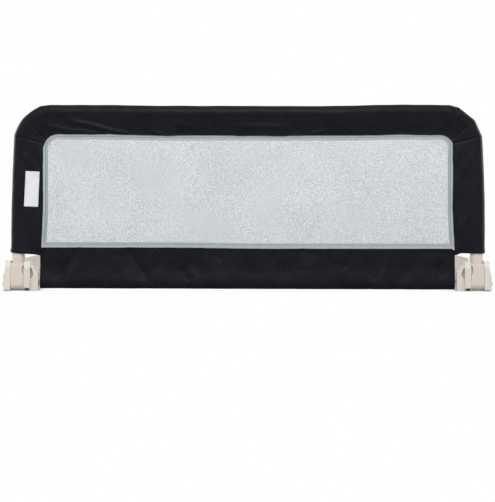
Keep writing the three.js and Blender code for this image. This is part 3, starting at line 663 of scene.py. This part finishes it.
def buildSkirt():
    spec = skirtSpec
    hemTop = spec["bottom"] + spec["hem"]
    heights = spread(spec["bottom"], spec["top"], spec["rowsUp"] - 1)
    heights += [hemTop + d * mm for d in (-1.2, -0.5, 0, 0.5, 1.2)]
    shares = spread(-1, 1, spec["columns"])
    skirt = frontSheet("skirt_flap", sorted(heights), shares, skirtPoint, blackCloth, spec["thickness"])
    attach(skirt, "guard")
    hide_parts("cover_skirt")
    print("stage: skirt")


buildSkirt()


# Net window: a fine knit with holes, stretched in the tape
netSpec = {
    "halfWidth": 439.5 * mm, "bottom": 98 * mm, "top": 331 * mm, "thickness": 0.5 * mm, "pitch": 2.4 * mm,
    "sag": 0.9 * mm, "edgeWave": 0.35 * mm, "hole": 0.25, "grain": (720, 2), "cloud": (9, 3),
    "dark": (0.40, 0.408, 0.425, 1), "pale": (0.80, 0.82, 0.845, 1), "columns": 220, "rowsUp": 60,
    "tones": (0.34, 0.64), "freeRun": 40 * mm, "tuckRun": 6 * mm,
}


def netKnit():
    spec = netSpec
    material, tree, shader = surface("netKnit", Roughness=0.82, Specular_IOR_Level=0.25, Sheen_Weight=0.15)
    across, along = clothPlace(tree)
    turn = 2 * math.pi / spec["pitch"]
    lace = times(tree, waveAlong(tree, along, 2 * spec["pitch"]), 1.3)
    shifted = combined(tree, "ADD", times(tree, across, turn), lace)
    loops = times(tree, combined(tree, "SINE", shifted), waveAlong(tree, along, spec["pitch"] / 0.87))
    place = objectPlace(tree)
    grain, cloud = (noiseAt(tree, place, *spec[key]) for key in ("grain", "cloud"))
    tone = combined(tree, "ADD", times(tree, grain, 0.9), times(tree, cloud, 0.1))
    ramp = addNode(tree, "ValToRGB", {0: tone})
    colours = (spec["dark"], spec["pale"])
    for stop, position, colour in zip(ramp.color_ramp.elements, spec["tones"], colours):
        stop.position = position
        stop.color = colour
    height = combined(tree, "ADD", times(tree, waveAlong(tree, across, spec["pitch"]), 0.5), loops)
    dress(
        tree, shader, Base_Color=ramp.outputs[0], Alpha=ranged(tree, loops, (1, spec["hole"]), (0.62, 0.85)),
        Normal=bumped(tree, height, 0.5, 0.25 * mm),
    )
    return material


def netPoint(x, z):
    spec = netSpec
    edge = min(spec["halfWidth"] - abs(x), z - spec["bottom"], spec["top"] - z)
    free = smoothStep(edge / spec["freeRun"])
    sag = spec["sag"] * ripple((x, z), 9, 8) * free
    sag += spec["edgeWave"] * ripple((x, z * 3), 30, 9) * (1 - free) * smoothStep(edge / spec["tuckRun"])
    over, lift = windowShift(x, z)
    return (x + over, planeY + sag, z + lift), (x, z)


def buildNet():
    spec = netSpec
    heights = spread(spec["bottom"], spec["top"], spec["rowsUp"])
    across = spread(-spec["halfWidth"], spec["halfWidth"], spec["columns"])
    net = frontSheet("net_window", heights, across, netPoint, netKnit(), spec["thickness"], 0)
    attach(net, "guard")
    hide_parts("net_panel")
    print("stage: net window")


buildNet()


# Stitches: short raised threads along a line, in three kinds of thread
threadSpec = {
    "black": {"colour": (0.0045, 0.004, 0.006, 1), "slot": "black_fabric",
              "length": 2.6 * mm, "gap": 1.2 * mm, "width": 0.6 * mm, "rise": 0.35 * mm},
    "grey": {"colour": (0.20, 0.22, 0.22, 1), "slot": "binding_tape",
             "length": 2.3 * mm, "gap": 1.1 * mm, "width": 0.7 * mm, "rise": 0.35 * mm},
    "white": {"colour": (0.66, 0.67, 0.69, 1), "slot": "white_label",
              "length": 1.7 * mm, "gap": 0.8 * mm, "width": 0.45 * mm, "rise": 0.3 * mm},
}


def threadMaterial(name, colour):
    material, tree, shader = surface(name, Roughness=0.62, Specular_IOR_Level=0.12)
    inputs = {"Vector": objectPlace(tree), "Scale": 700, "Distortion": 1.5}
    twist = addNode(tree, "TexWave", inputs, bands_direction="DIAGONAL").outputs[1]
    tone = blended(tree, twist, colour, tuple(c * 0.6 for c in colour[:3]) + (1,))
    dress(tree, shader, Base_Color=tone, Normal=bumped(tree, twist, 0.6, 0.1 * mm))
    return material


threads = {kind: threadMaterial(kind + "Thread", spec["colour"]) for kind, spec in threadSpec.items()}


def stitchRun(name, kind, line, outs):
    # outs gives the outward side of the surface at each point of the line
    spec = threadSpec[kind]
    line = [Vector(p) for p in line]
    outs = [Vector(out) for out in outs]
    places = [0]
    for a, b in zip(line, line[1:]):
        places.append(places[-1] + (b - a).length)

    def at(run):
        k = max(0, min(len(line) - 2, int(np.searchsorted(places, run)) - 1))
        share = (run - places[k]) / max(1e-9, places[k + 1] - places[k])
        return line[k].lerp(line[k + 1], share), outs[k].lerp(outs[k + 1], share).normalized()

    verts, faces, run = [], [], spec["gap"] / 2
    while run + spec["length"] < places[-1]:
        ends = [at(run + spec["length"] * share) for share in (0, 0.25, 0.75, 1)]
        along = (ends[-1][0] - ends[0][0]).normalized()
        base = len(verts)
        for k, (point, out) in enumerate(ends):
            side = along.cross(out).normalized() * spec["width"] / 2
            lift = out * (spec["rise"] if k in (1, 2) else 0.3 * spec["rise"])
            verts += [point + part for part in (-side, lift + side * -0.5, lift + side * 0.5, side)]
        for first in (base, base + 4, base + 8):
            faces += [(a, a + 1, a + 5, a + 4) for a in (first, first + 1, first + 2)]
            faces.append((first, first + 4, first + 7, first + 3))
        faces += [(base + 3, base + 2, base + 1, base), (base + 12, base + 13, base + 14, base + 15)]
        run += spec["length"] + spec["gap"]
    mesh = bpy.data.meshes.new(name)
    mesh.from_pydata(verts, [], faces)
    mesh.materials.append(threads[kind])
    piece = linked(name, mesh)
    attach(piece, "guard")


# Binding tape round the window
bindingSpec = {
    "halfWidth": 445.5 * mm, "top": 337 * mm, "bottom": 92 * mm, "corner": {-1: 34 * mm, 1: 28 * mm},
    "seam": 6.0 * mm, "face": 0.88 * mm, "pucker": 0.25 * mm, "weld": 0.02 * mm,
    "cornerSteps": 14, "step": 5 * mm,
    "outer": (0.475, 0.53, 0.53, 1), "inner": (0.345, 0.38, 0.39, 1), "turn": (3.6 * mm, 5.2 * mm),
    # These tones and spans paint light and shade on the tape: a darker grey as painted shade on the top run's
    # outer strip, and a paler tone as painted light inside the top run and over the whole foot
    "shadedTopOuter": (0.40, 0.42, 0.425, 1), "topFrom": (290 * mm, 330 * mm),
    "pale": (0.445, 0.47, 0.485, 1), "litInsideFrom": (6.2 * mm, 7.8 * mm),
    "footFrom": (113 * mm, 100 * mm), "litFootShare": 0.6,
}
# The tape's front across its width: place from the outer edge, height over the guard's plane
bindingProfile = [
    (0, 0.0), (0.15, 0.85), (0.9, 1.15), (2.4, 1.25), (3.8, 1.5), (4.6, 1.45), (5.4, 1.1), (6.0, 0.8),
    (6.7, 1.0), (8.0, 1.15), (9.6, 1.12), (10.7, 1.0), (11.2, 0.7), (11.4, 0.45),
]


def ringAt(inset):
    # the window's outline, moved inwards, from the lower left corner clockwise
    spec = bindingSpec
    half, top, bottom = spec["halfWidth"] - inset, spec["top"] - inset, spec["bottom"] + inset
    left, right = spec["corner"][-1] - inset, spec["corner"][1] - inset

    def shares(length):
        return spread(0, 1, max(2, round(length / spec["step"])))[:-1]

    tall = shares(spec["top"] - spec["bottom"] - spec["corner"][-1])
    wide = shares(2 * spec["halfWidth"] - spec["corner"][-1] - spec["corner"][1])
    turns = spread(0, math.pi / 2, spec["cornerSteps"])[:-1]
    points = [(-half, bottom + (top - left - bottom) * share) for share in tall]
    points += [(-half + left - left * math.cos(t), top - left + left * math.sin(t)) for t in turns]
    points += [(-half + left + (2 * half - left - right) * share, top) for share in wide]
    points += [(half - right + right * math.sin(t), top - right + right * math.cos(t)) for t in turns]
    points += [(half, top - right - (top - right - bottom) * share) for share in tall]
    points += [(half - 2 * half * share, bottom) for share in shares(2 * spec["halfWidth"])]
    shifts = [windowShift(x, z) for x, z in points]
    return [(x + over, z + lift) for (x, z), (over, lift) in zip(points, shifts)]


def bindingTape():
    spec = bindingSpec
    material, tree, shader = surface("bindingTape", Roughness=0.74, Sheen_Weight=0.25, Specular_IOR_Level=0.3)
    across, along = clothPlace(tree)
    place = objectPlace(tree)
    level = addNode(tree, "SeparateXYZ", {0: place}).outputs[2]
    turned = ranged(tree, across, span=spec["turn"], interpolation_type="SMOOTHSTEP")
    inside = ranged(tree, across, span=spec["litInsideFrom"], interpolation_type="SMOOTHSTEP")
    upper = ranged(tree, level, span=spec["topFrom"])
    foot = ranged(tree, level, (0, spec["litFootShare"]), spec["footFrom"])
    # Painted light and shade: the top run is painted paler inside and painted darker outside, and the whole
    # foot is painted paler
    pale = combined(tree, "MAXIMUM", times(tree, inside, upper), foot)
    dull = times(tree, combined(tree, "SUBTRACT", 1, turned), upper)
    tone = blended(tree, dull, blended(tree, turned, spec["outer"], spec["inner"]), spec["shadedTopOuter"])
    tone = blended(tree, pale, tone, spec["pale"])
    vary = ranged(tree, noiseAt(tree, place, 120, 3), (0.86, 1.12))
    shade = addNode(tree, "VectorMath", {0: tone, "Scale": vary}, operation="SCALE").outputs[0]
    rib, cord = waveAlong(tree, along, 0.9 * mm), waveAlong(tree, across, 0.7 * mm)
    height = combined(tree, "ADD", rib, times(tree, cord, 0.4))
    dress(tree, shader, Base_Color=shade, Normal=bumped(tree, height, 0.5, 0.15 * mm))
    return material


def buildBinding():
    spec = bindingSpec
    section = [(u * mm, -y * mm) for u, y in bindingProfile]
    section += [(u, -y) for u, y in reversed(section)]
    rings = [ringAt(u) for u, _ in section]
    runs = [0.0]
    for a, b in zip(rings[0], rings[0][1:] + rings[0][:1]):
        runs.append(runs[-1] + math.dist(a, b))
    rows, uvs = [], []
    for i, run in enumerate(runs):
        k = i % len(rings[0])
        row = []
        for (u, y), ring in zip(section, rings):
            ripples = spec["pucker"] * ripple((runs[k], u * 4), 150, 14) if abs(y) > 0.5 * mm else 0
            row.append((ring[k][0], planeY + y + math.copysign(1, y) * ripples, ring[k][1]))
        row[-1] = row[0]        # the section closes on itself
        rows.append(row)
        uvs.append([(u, run) for u, _ in section])
    tape = gridPiece("binding_tape", rows, uvs, bindingTape())
    facedOut(tape.data, spec["weld"])
    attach(tape, "guard")
    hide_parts("net_binding")
    seam = ringAt(spec["seam"])
    for name, face in (("binding_stitches", -1), ("binding_stitches_back", 1)):
        line = [(x, planeY + face * spec["face"], z) for x, z in seam + seam[:1]]
        stitchRun(name, "grey", line, [(0, face, 0)] * len(line))
    print("stage: binding tape")


buildBinding()


# Bare label on the left sleeve
labelSpec = {
    "centre": (-467.3 * mm, 220.7 * mm), "size": (28.8 * mm, 76.5 * mm), "tilt": 2.5, "thickness": 0.4 * mm,
    "lift": 0.75 * mm, "pressed": 0.2 * mm, "seam": 1.6 * mm, "seamWidth": 0.5 * mm, "seamLift": 0.62 * mm,
    "wave": 0.12 * mm, "columns": 24, "rowsUp": 60, "sideSteps": 24,
    "pale": (0.80, 0.81, 0.835, 1), "dull": (0.70, 0.71, 0.74, 1),
}


def onCover(x, z, lift):
    # a point just over the cover's front, and the cover's outward side there
    hit, place, out, _ = cover.ray_cast(Vector((x, planeY - 0.2, z)), Vector((0, 1, 0)))
    return (place + Vector((0, -lift, 0)), out) if hit else None


def labelCloth():
    spec = labelSpec
    material, tree, shader = surface("labelSatin", Roughness=0.42, Specular_IOR_Level=0.35, Sheen_Weight=0.1)
    across, along = clothPlace(tree)
    weft, warp = waveAlong(tree, along, 0.5 * mm), waveAlong(tree, across, 0.35 * mm)
    height = combined(tree, "ADD", weft, times(tree, warp, 0.5))
    tone = blended(tree, noiseAt(tree, objectPlace(tree), 90, 3), spec["pale"], spec["dull"])
    dress(tree, shader, Base_Color=tone, Normal=bumped(tree, height, 0.4, 0.12 * mm))
    return material


def overCover(u, v, lift):      # u across and v up from the label's centre
    spec = labelSpec
    tilt = math.radians(spec["tilt"])
    x = spec["centre"][0] + u * math.cos(tilt) + v * math.sin(tilt)
    z = spec["centre"][1] - u * math.sin(tilt) + v * math.cos(tilt)
    found = onCover(x, z, lift)
    if not found:
        raise RuntimeError("the label hangs over the sleeve's edge")
    return found


def labelPoint(u, v):           # the seam presses it on the sleeve
    spec = labelSpec
    width, height = spec["size"]
    inset = min(width / 2 - abs(u), height / 2 - abs(v))
    lift = spec["lift"] - spec["pressed"] * bell(inset - spec["seam"], spec["seamWidth"])
    return overCover(u, v, lift + spec["wave"] * ripple((u, v), 90, 15))[0], (u, v)


def buildLabel():
    spec = labelSpec
    width, height = spec["size"]
    up = spread(-height / 2, height / 2, spec["rowsUp"])
    across = spread(-width / 2, width / 2, spec["columns"])
    label = frontSheet("bare_label", up, across, labelPoint, labelCloth(), spec["thickness"])
    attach(label, "guard")
    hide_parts("side_label")
    corners = [(-1, -1), (1, -1), (1, 1), (-1, 1), (-1, -1)]
    right, top = width / 2 - spec["seam"], height / 2 - spec["seam"]
    line = [
        overCover((ax + (bx - ax) * t) * right, (ay + (by - ay) * t) * top, spec["seamLift"])
        for (ax, ay), (bx, by) in zip(corners, corners[1:])
        for t in spread(0, 1, spec["sideSteps"])[:-1]
    ]
    line.append(line[0])
    stitchRun("label_stitches", "white", [point for point, _ in line], [out for _, out in line])
    print("stage: label")


buildLabel()


# Seams in black thread: skirt hem, window edge and sleeve ends
seamSpec = {
    "step": 4 * mm, "hemOut": 0.42 * mm, "lift": 0.02 * mm, "fromWindow": 3.2 * mm, "lowest": 95 * mm,
    "sleeveHem": 11 * mm, "sleeveFrom": 3 * mm, "sleeveTo": 13 * mm,
}


def laidSeam(name, points):
    held = [found for found in (onCover(x, z, seamSpec["lift"]) for x, z in points) if found]
    stitchRun(name, "black", [place for place, _ in held], [out for _, out in held])


def buildSeams():
    spec, cloth = seamSpec, skirtSpec
    z, reach = cloth["bottom"] + cloth["hem"], cloth["halfWidth"] - cloth["sideHem"]
    xs = [i * spec["step"] - reach for i in range(round(2 * reach / spec["step"]) + 1)]
    hem = [
        (x, planeY - skirtPush(x, z) + spec["hemOut"], z - skirtDrop(x / cloth["halfWidth"], z))
        for x in xs
    ]
    stitchRun("hem_stitches", "black", hem, [(0, -1, 0)] * len(hem))
    edge = ringAt(-spec["fromWindow"])
    start = min(range(len(edge)), key=lambda i: (edge[i][0] > 0, abs(edge[i][1] - spec["lowest"])))
    laidSeam("window_stitches", [p for p in edge[start:] + edge[:start] if p[1] > spec["lowest"]])
    base = coverSpec["sleeveEnd"] + spec["sleeveHem"]
    across = np.linspace(coverSpec["edgeX"] + spec["sleeveFrom"], legX + spec["sleeveTo"], 16)
    for side, name in sides[::-1]:
        slope = coverSpec["slope"][side]
        laidSeam("sleeve_stitches_" + name, [(side * x, base + (x - legX) * slope) for x in across])
    print("stage: seams")


buildSeams()


# Hard materials: moulded plastic, powder coat, plated steel and rubber
plasticSpec = {
    "bracketPlastic": {"colour": (0.72, 0.675, 0.59, 1), "wear": (0.82, 0.785, 0.71, 1)},
    "footPlastic": {"colour": (0.70, 0.615, 0.545, 1), "wear": (0.79, 0.715, 0.645, 1)},
}


def mouldedPlastic(name):
    spec = plasticSpec[name]
    material, tree, shader = surface(name, Specular_IOR_Level=0.42)
    place = objectPlace(tree)
    grain, scuff = noiseAt(tree, place, 2600, 2), noiseAt(tree, place, 160, 6, 0.7)
    edge = addNode(tree, "NewGeometry").outputs["Pointiness"]
    sharp = ranged(tree, edge, span=(0.515, 0.6))
    worn = combined(tree, "MULTIPLY", sharp, scuff, True)
    shade = tuple(c * 0.9 for c in spec["colour"][:3]) + (1,)
    tone = blended(tree, noiseAt(tree, place, 22, 4, 0.55), spec["colour"], shade)
    height = combined(tree, "ADD", grain, times(tree, scuff, 0.6))
    dress(
        tree, shader, Base_Color=blended(tree, worn, tone, spec["wear"]),
        Roughness=ranged(tree, scuff, (0.36, 0.56)), Normal=bumped(tree, height, 0.22, 0.12 * mm),
    )
    return material


# A noise is its scale, detail and roughness; a bump is its strength and depth
hardSpec = {
    "powderCoat": {
        "colours": ((0.65, 0.60, 0.525, 1), (0.595, 0.545, 0.475, 1)), "cloud": (18, 3),
        "gloss": (75, 7, 0.75), "glossRange": (0.28, 0.5), "grain": (1100, 2), "bump": (0.18, 0.15 * mm),
        "uniform": {"Specular_IOR_Level": 0.5},
    },
    "platedSteel": {
        "colours": ((0.60, 0.61, 0.62, 1), (0.48, 0.49, 0.51, 1)), "spangle": 900,
        "gloss": (420, 5), "glossRange": (0.22, 0.42), "grain": (420, 5), "bump": (0.15, 0.05 * mm),
        "uniform": {"Metallic": 1.0},
    },
    "gripRubber": {
        "colours": ((0.052, 0.052, 0.054, 1), (0.085, 0.083, 0.080, 1)), "cloud": (60, 5, 0.65),
        "gloss": (60, 5, 0.65), "glossRange": (0.62, 0.85), "grain": (1500, 3), "bump": (0.35, 0.2 * mm),
        "uniform": {"Specular_IOR_Level": 0.3},
    },
}


def hardSurface(name):
    spec = hardSpec[name]
    material, tree, shader = surface(name, **spec["uniform"])
    place = objectPlace(tree)
    if "spangle" in spec:
        cloud = addNode(tree, "TexVoronoi", {"Vector": place, "Scale": spec["spangle"]}).outputs[0]
    else:
        cloud = noiseAt(tree, place, *spec["cloud"])
    dress(
        tree, shader, Base_Color=blended(tree, cloud, *spec["colours"]),
        Roughness=ranged(tree, noiseAt(tree, place, *spec["gloss"]), spec["glossRange"]),
        Normal=bumped(tree, noiseAt(tree, place, *spec["grain"]), *spec["bump"]),
    )
    return material


bracketPlastic, footPlastic = (mouldedPlastic(name) for name in plasticSpec)
coat, steel, rubber = (hardSurface(name) for name in hardSpec)


def finishNode(name, material):
    for place in cad[name].material_slots:
        place.material = material


for _, side in sides:
    finishNode("guard_leg_" + side, coat)
    for name in ("pivot_pin_", "pin_clip_", "arm_screw_", "joiner_screw_", "foot_screw_", "top_screw_"):
        finishNode(name + side, steel)
finishNode("guard_top_tube", coat)


# Moulded pieces: the solids again, with the soft edges of a moulding
mouldingSpec = {
    "bracket": {"voxel": 0.62 * mm, "rounding": 4, "kept": 0.3, "body": "base", "material": bracketPlastic},
    "foot": {"voxel": 0.5 * mm, "rounding": 4, "kept": 0.4, "body": "guard", "material": footPlastic},
    "joiner": {"voxel": 0.6 * mm, "rounding": 3, "kept": 0.35, "body": "base", "material": bracketPlastic},
}


def buildMoulding(node, kind, ending=""):
    spec = mouldingSpec[kind]
    piece = linked("moulded_" + kind + ending, cad[node].data.copy())
    piece.data.materials.clear()
    piece.data.materials.append(spec["material"])
    grid = piece.modifiers.new("grid", "REMESH")
    grid.mode = "VOXEL"
    grid.voxel_size = spec["voxel"]
    grid.use_smooth_shade = True
    soften = piece.modifiers.new("soften", "SMOOTH")
    soften.iterations = spec["rounding"]
    soften.factor = 0.5
    fewer = piece.modifiers.new("fewer", "DECIMATE")
    fewer.ratio = spec["kept"]
    bpy.context.view_layer.update()
    applied(piece)
    piece.data.polygons.foreach_set("use_smooth", [True] * len(piece.data.polygons))
    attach(piece, spec["body"])
    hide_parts(node)


for kind in ("bracket", "foot"):
    for _, side in sides[::-1]:
        buildMoulding("hinge_" + kind + "_" + side, kind, "_" + side)
buildMoulding("base_joiner", "joiner")
print("stage: moulded pieces")


# Round pieces: rings of points, skinned; the ends are closed with one face unless the rings form a loop
tipRadius = 0.02 * mm           # the last ring of a rounded head


def ringPiece(name, rings, material, body, node, closed=False):
    count, width = len(rings), len(rings[0])
    faces = []
    for i in range(count if closed else count - 1):
        a, b = i * width, (i + 1) % count * width
        faces += [(a + j, a + (j + 1) % width, b + (j + 1) % width, b + j) for j in range(width)]
    if not closed:
        faces += [tuple(reversed(range(width))), tuple((count - 1) * width + j for j in range(width))]
    mesh = bpy.data.meshes.new(name)
    mesh.from_pydata([tuple(p) for ring in rings for p in ring], [], faces)
    facedOut(mesh)
    mesh.polygons.foreach_set("use_smooth", [len(p.vertices) == 4 for p in mesh.polygons])
    mesh.materials.append(material)
    piece = linked(name, mesh)
    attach(piece, body)
    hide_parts(node)


def circle(centre, side, up, radius, steps):
    turns = spread(0, 2 * math.pi, steps)[:-1]
    return [Vector(centre) + side * (radius * math.cos(t)) + up * (radius * math.sin(t)) for t in turns]


tubeSpec = {
    "front": -229.4 * mm, "bend": 45 * mm, "end": 8 * mm, "radius": 9.5 * mm, "wall": 1.2 * mm,
    "steps": 56, "bendSteps": 28,
}


def buildBaseTube(side, name):
    # a pipe with its true wall, bent on a smooth quarter circle
    spec = tubeSpec
    bend = spec["bend"]
    path = [(armX, spec["front"]), (armX, rearY - bend - 0.1 * mm)]
    turns = spread(0, math.pi / 2, spec["bendSteps"])
    path += [(armX - bend * (1 - math.cos(t)), rearY - bend * (1 - math.sin(t))) for t in turns]
    path.append((spec["end"], rearY))
    up = Vector((0, 0, 1))
    outside, inside = [], []
    for k, (x, y) in enumerate(path):
        ax, ay = path[max(0, k - 1)]
        bx, by = path[min(len(path) - 1, k + 1)]
        across = Vector(((bx - ax) * side, by - ay, 0)).normalized().cross(up)
        centre = (x * side, y, tubeZ)
        outside.append(circle(centre, across, up, spec["radius"], spec["steps"]))
        inside.append(circle(centre, across, up, spec["radius"] - spec["wall"], spec["steps"]))
    rings = outside + inside[::-1]
    ringPiece("coated_tube_" + name, rings, coat, "base", "base_tube_" + name, closed=True)


gripSpec = {
    "inner": 9.82 * mm, "outer": 12.5 * mm, "rib": 0.9 * mm, "pitch": 5 * mm, "length": 120 * mm,
    "cuff": 7 * mm, "rounding": 0.9 * mm, "roundRun": 0.8 * mm, "sole": 0.15 * mm, "steps": 192, "around": 64,
}


def buildGrip(name, start, axis, node):
    # a ribbed rubber sleeve with a flat sole and a plain cuff at both ends
    spec = gripSpec
    along, up = Vector(axis), Vector((0, 0, 1))
    side = along.cross(up)
    outside, inside = [], []
    for run in spread(0, spec["length"], spec["steps"]):
        edge = min(run, spec["length"] - run)
        radius = spec["outer"] - spec["rounding"] * math.exp(-edge / spec["roundRun"])
        if edge >= spec["cuff"]:
            radius -= spec["rib"] * (0.5 + 0.5 * math.cos(2 * math.pi * run / spec["pitch"])) ** 3
        centre = Vector(start) + along * run
        ring = circle(centre, side, up, radius, spec["around"])
        for point in ring:
            point.z = max(point.z, spec["sole"])
        outside.append(ring)
        inside.append(circle(centre, side, up, spec["inner"], spec["around"]))
    ringPiece(name, outside + inside[::-1], rubber, "base", node, closed=True)


for side, name in sides:
    buildBaseTube(side, name)
    arm, rear = (side * armX, 6.3 * mm, tubeZ), (side * 190 * mm, rearY, tubeZ)
    buildGrip("ribbed_arm_grip_" + name, arm, (0, 1, 0), "arm_grip_" + name)
    buildGrip("ribbed_rear_grip_" + name, rear, (side, 0, 0), "rear_grip_" + name)
print("stage: tubes and grips")


# Pan-head screws with a cross recess over a threaded shank
screwSpec = {
    "head": 3.7 * mm, "rise": 1.6 * mm, "rim": 0.42, "slot": 0.42 * mm, "reach": 1.9 * mm, "depth": 0.9 * mm,
    "shank": 2 * mm, "length": 7 * mm, "thread": 0.14, "tip": 0.35,
    "around": 72, "rings": 22, "shankRings": 28, "seatShare": 0.99,
    "slotEdge": 0.25 * mm, "reachEdge": 0.3 * mm,
}
# Each screw on the right: under its head, the way the head faces, and the body it rides on
screwPlaces = {
    "arm_screw_": ((452.9 * mm, planeY + 78 * mm, tubeZ), (-1, 0, 0), "base"),
    "joiner_screw_": ((62 * mm, rearY, 24.8 * mm), (0, 0, 1), "base"),
    "foot_screw_": ((legX, planeY + 14.3 * mm, 74 * mm), (0, 1, 0), "guard"),
}


def screwHead(seat, side, up, out):
    spec = screwSpec
    rings = []
    for share in spread(1, 0, spec["rings"]):
        radius = max(spec["head"] * share, tipRadius)
        dome = spec["rise"] * (spec["rim"] + (1 - spec["rim"]) * math.sqrt(max(0, 1 - share ** 2)))
        ring = []
        for t in spread(0, 2 * math.pi, spec["around"])[:-1]:
            a, b = radius * math.cos(t), radius * math.sin(t)
            inArm = 1 - smoothStep((min(abs(a), abs(b)) - spec["slot"]) / spec["slotEdge"])
            inReach = 1 - smoothStep((max(abs(a), abs(b)) - spec["reach"]) / spec["reachEdge"])
            ring.append(seat + side * a + up * b + out * (dome - spec["depth"] * inArm * inReach))
        rings.append(ring)
    return rings


def buildScrew(node, seat, out, body):
    spec = screwSpec
    seat, out = Vector(seat), Vector(out)
    side = out.orthogonal().normalized()
    up = out.cross(side)
    rings = []
    for k in range(spec["shankRings"] + 1):
        run = -spec["length"] * (1 - k / spec["shankRings"])
        radius = spec["shank"] * (spec["tip"] if k == 0 else 1 - spec["thread"] * (k % 2))
        rings.append(circle(seat + out * run, side, up, radius, spec["around"]))
    rings.append(circle(seat, side, up, spec["head"] * spec["seatShare"], spec["around"]))
    rings += screwHead(seat, side, up, out)
    ringPiece("cross_" + node, rings, steel, body, node)


def buildScrews(side, name):
    for node, (seat, out, body) in screwPlaces.items():
        buildScrew(node + name, (side * seat[0], *seat[1:]), (side * out[0], *out[1:]), body)


# Domed caps over the pins
capSpec = {
    "rim": 7 * mm, "proud": 5 * mm, "rimShare": 0.3, "face": 528.1 * mm, "height": 16.5 * mm,
    "plug": 6 * mm, "sunk": 0.6 * mm, "gap": 0.3 * mm, "chamfer": 0.4 * mm, "domePower": 0.8,
    "around": 72, "domeSteps": 15,
}


def buildCap(side, name):
    spec = capSpec
    rim, low = spec["rim"], spec["proud"] * spec["rimShare"]
    plug, gap, chamfer = spec["plug"], spec["gap"], spec["chamfer"]
    profile = [(plug, -spec["sunk"]), (plug, gap), (rim - chamfer, gap), (rim, gap + chamfer), (rim, low)]
    for t in spread(0, math.pi / 2, spec["domeSteps"])[1:]:
        radius = max(rim * math.cos(t) ** spec["domePower"], tipRadius)
        profile.append((radius, low + (spec["proud"] - low) * math.sin(t)))
    across, up = Vector((0, 1, 0)), Vector((0, 0, 1))
    rings = [
        circle((side * (spec["face"] + run), planeY, spec["height"]), across, up, radius, spec["around"])
        for radius, run in profile
    ]
    ringPiece("domed_cap_" + name, rings, bracketPlastic, "pivot", "pin_cap_" + name)


for side, name in sides:
    buildScrews(side, name)
    buildCap(side, name)
print("stage: screws and caps")
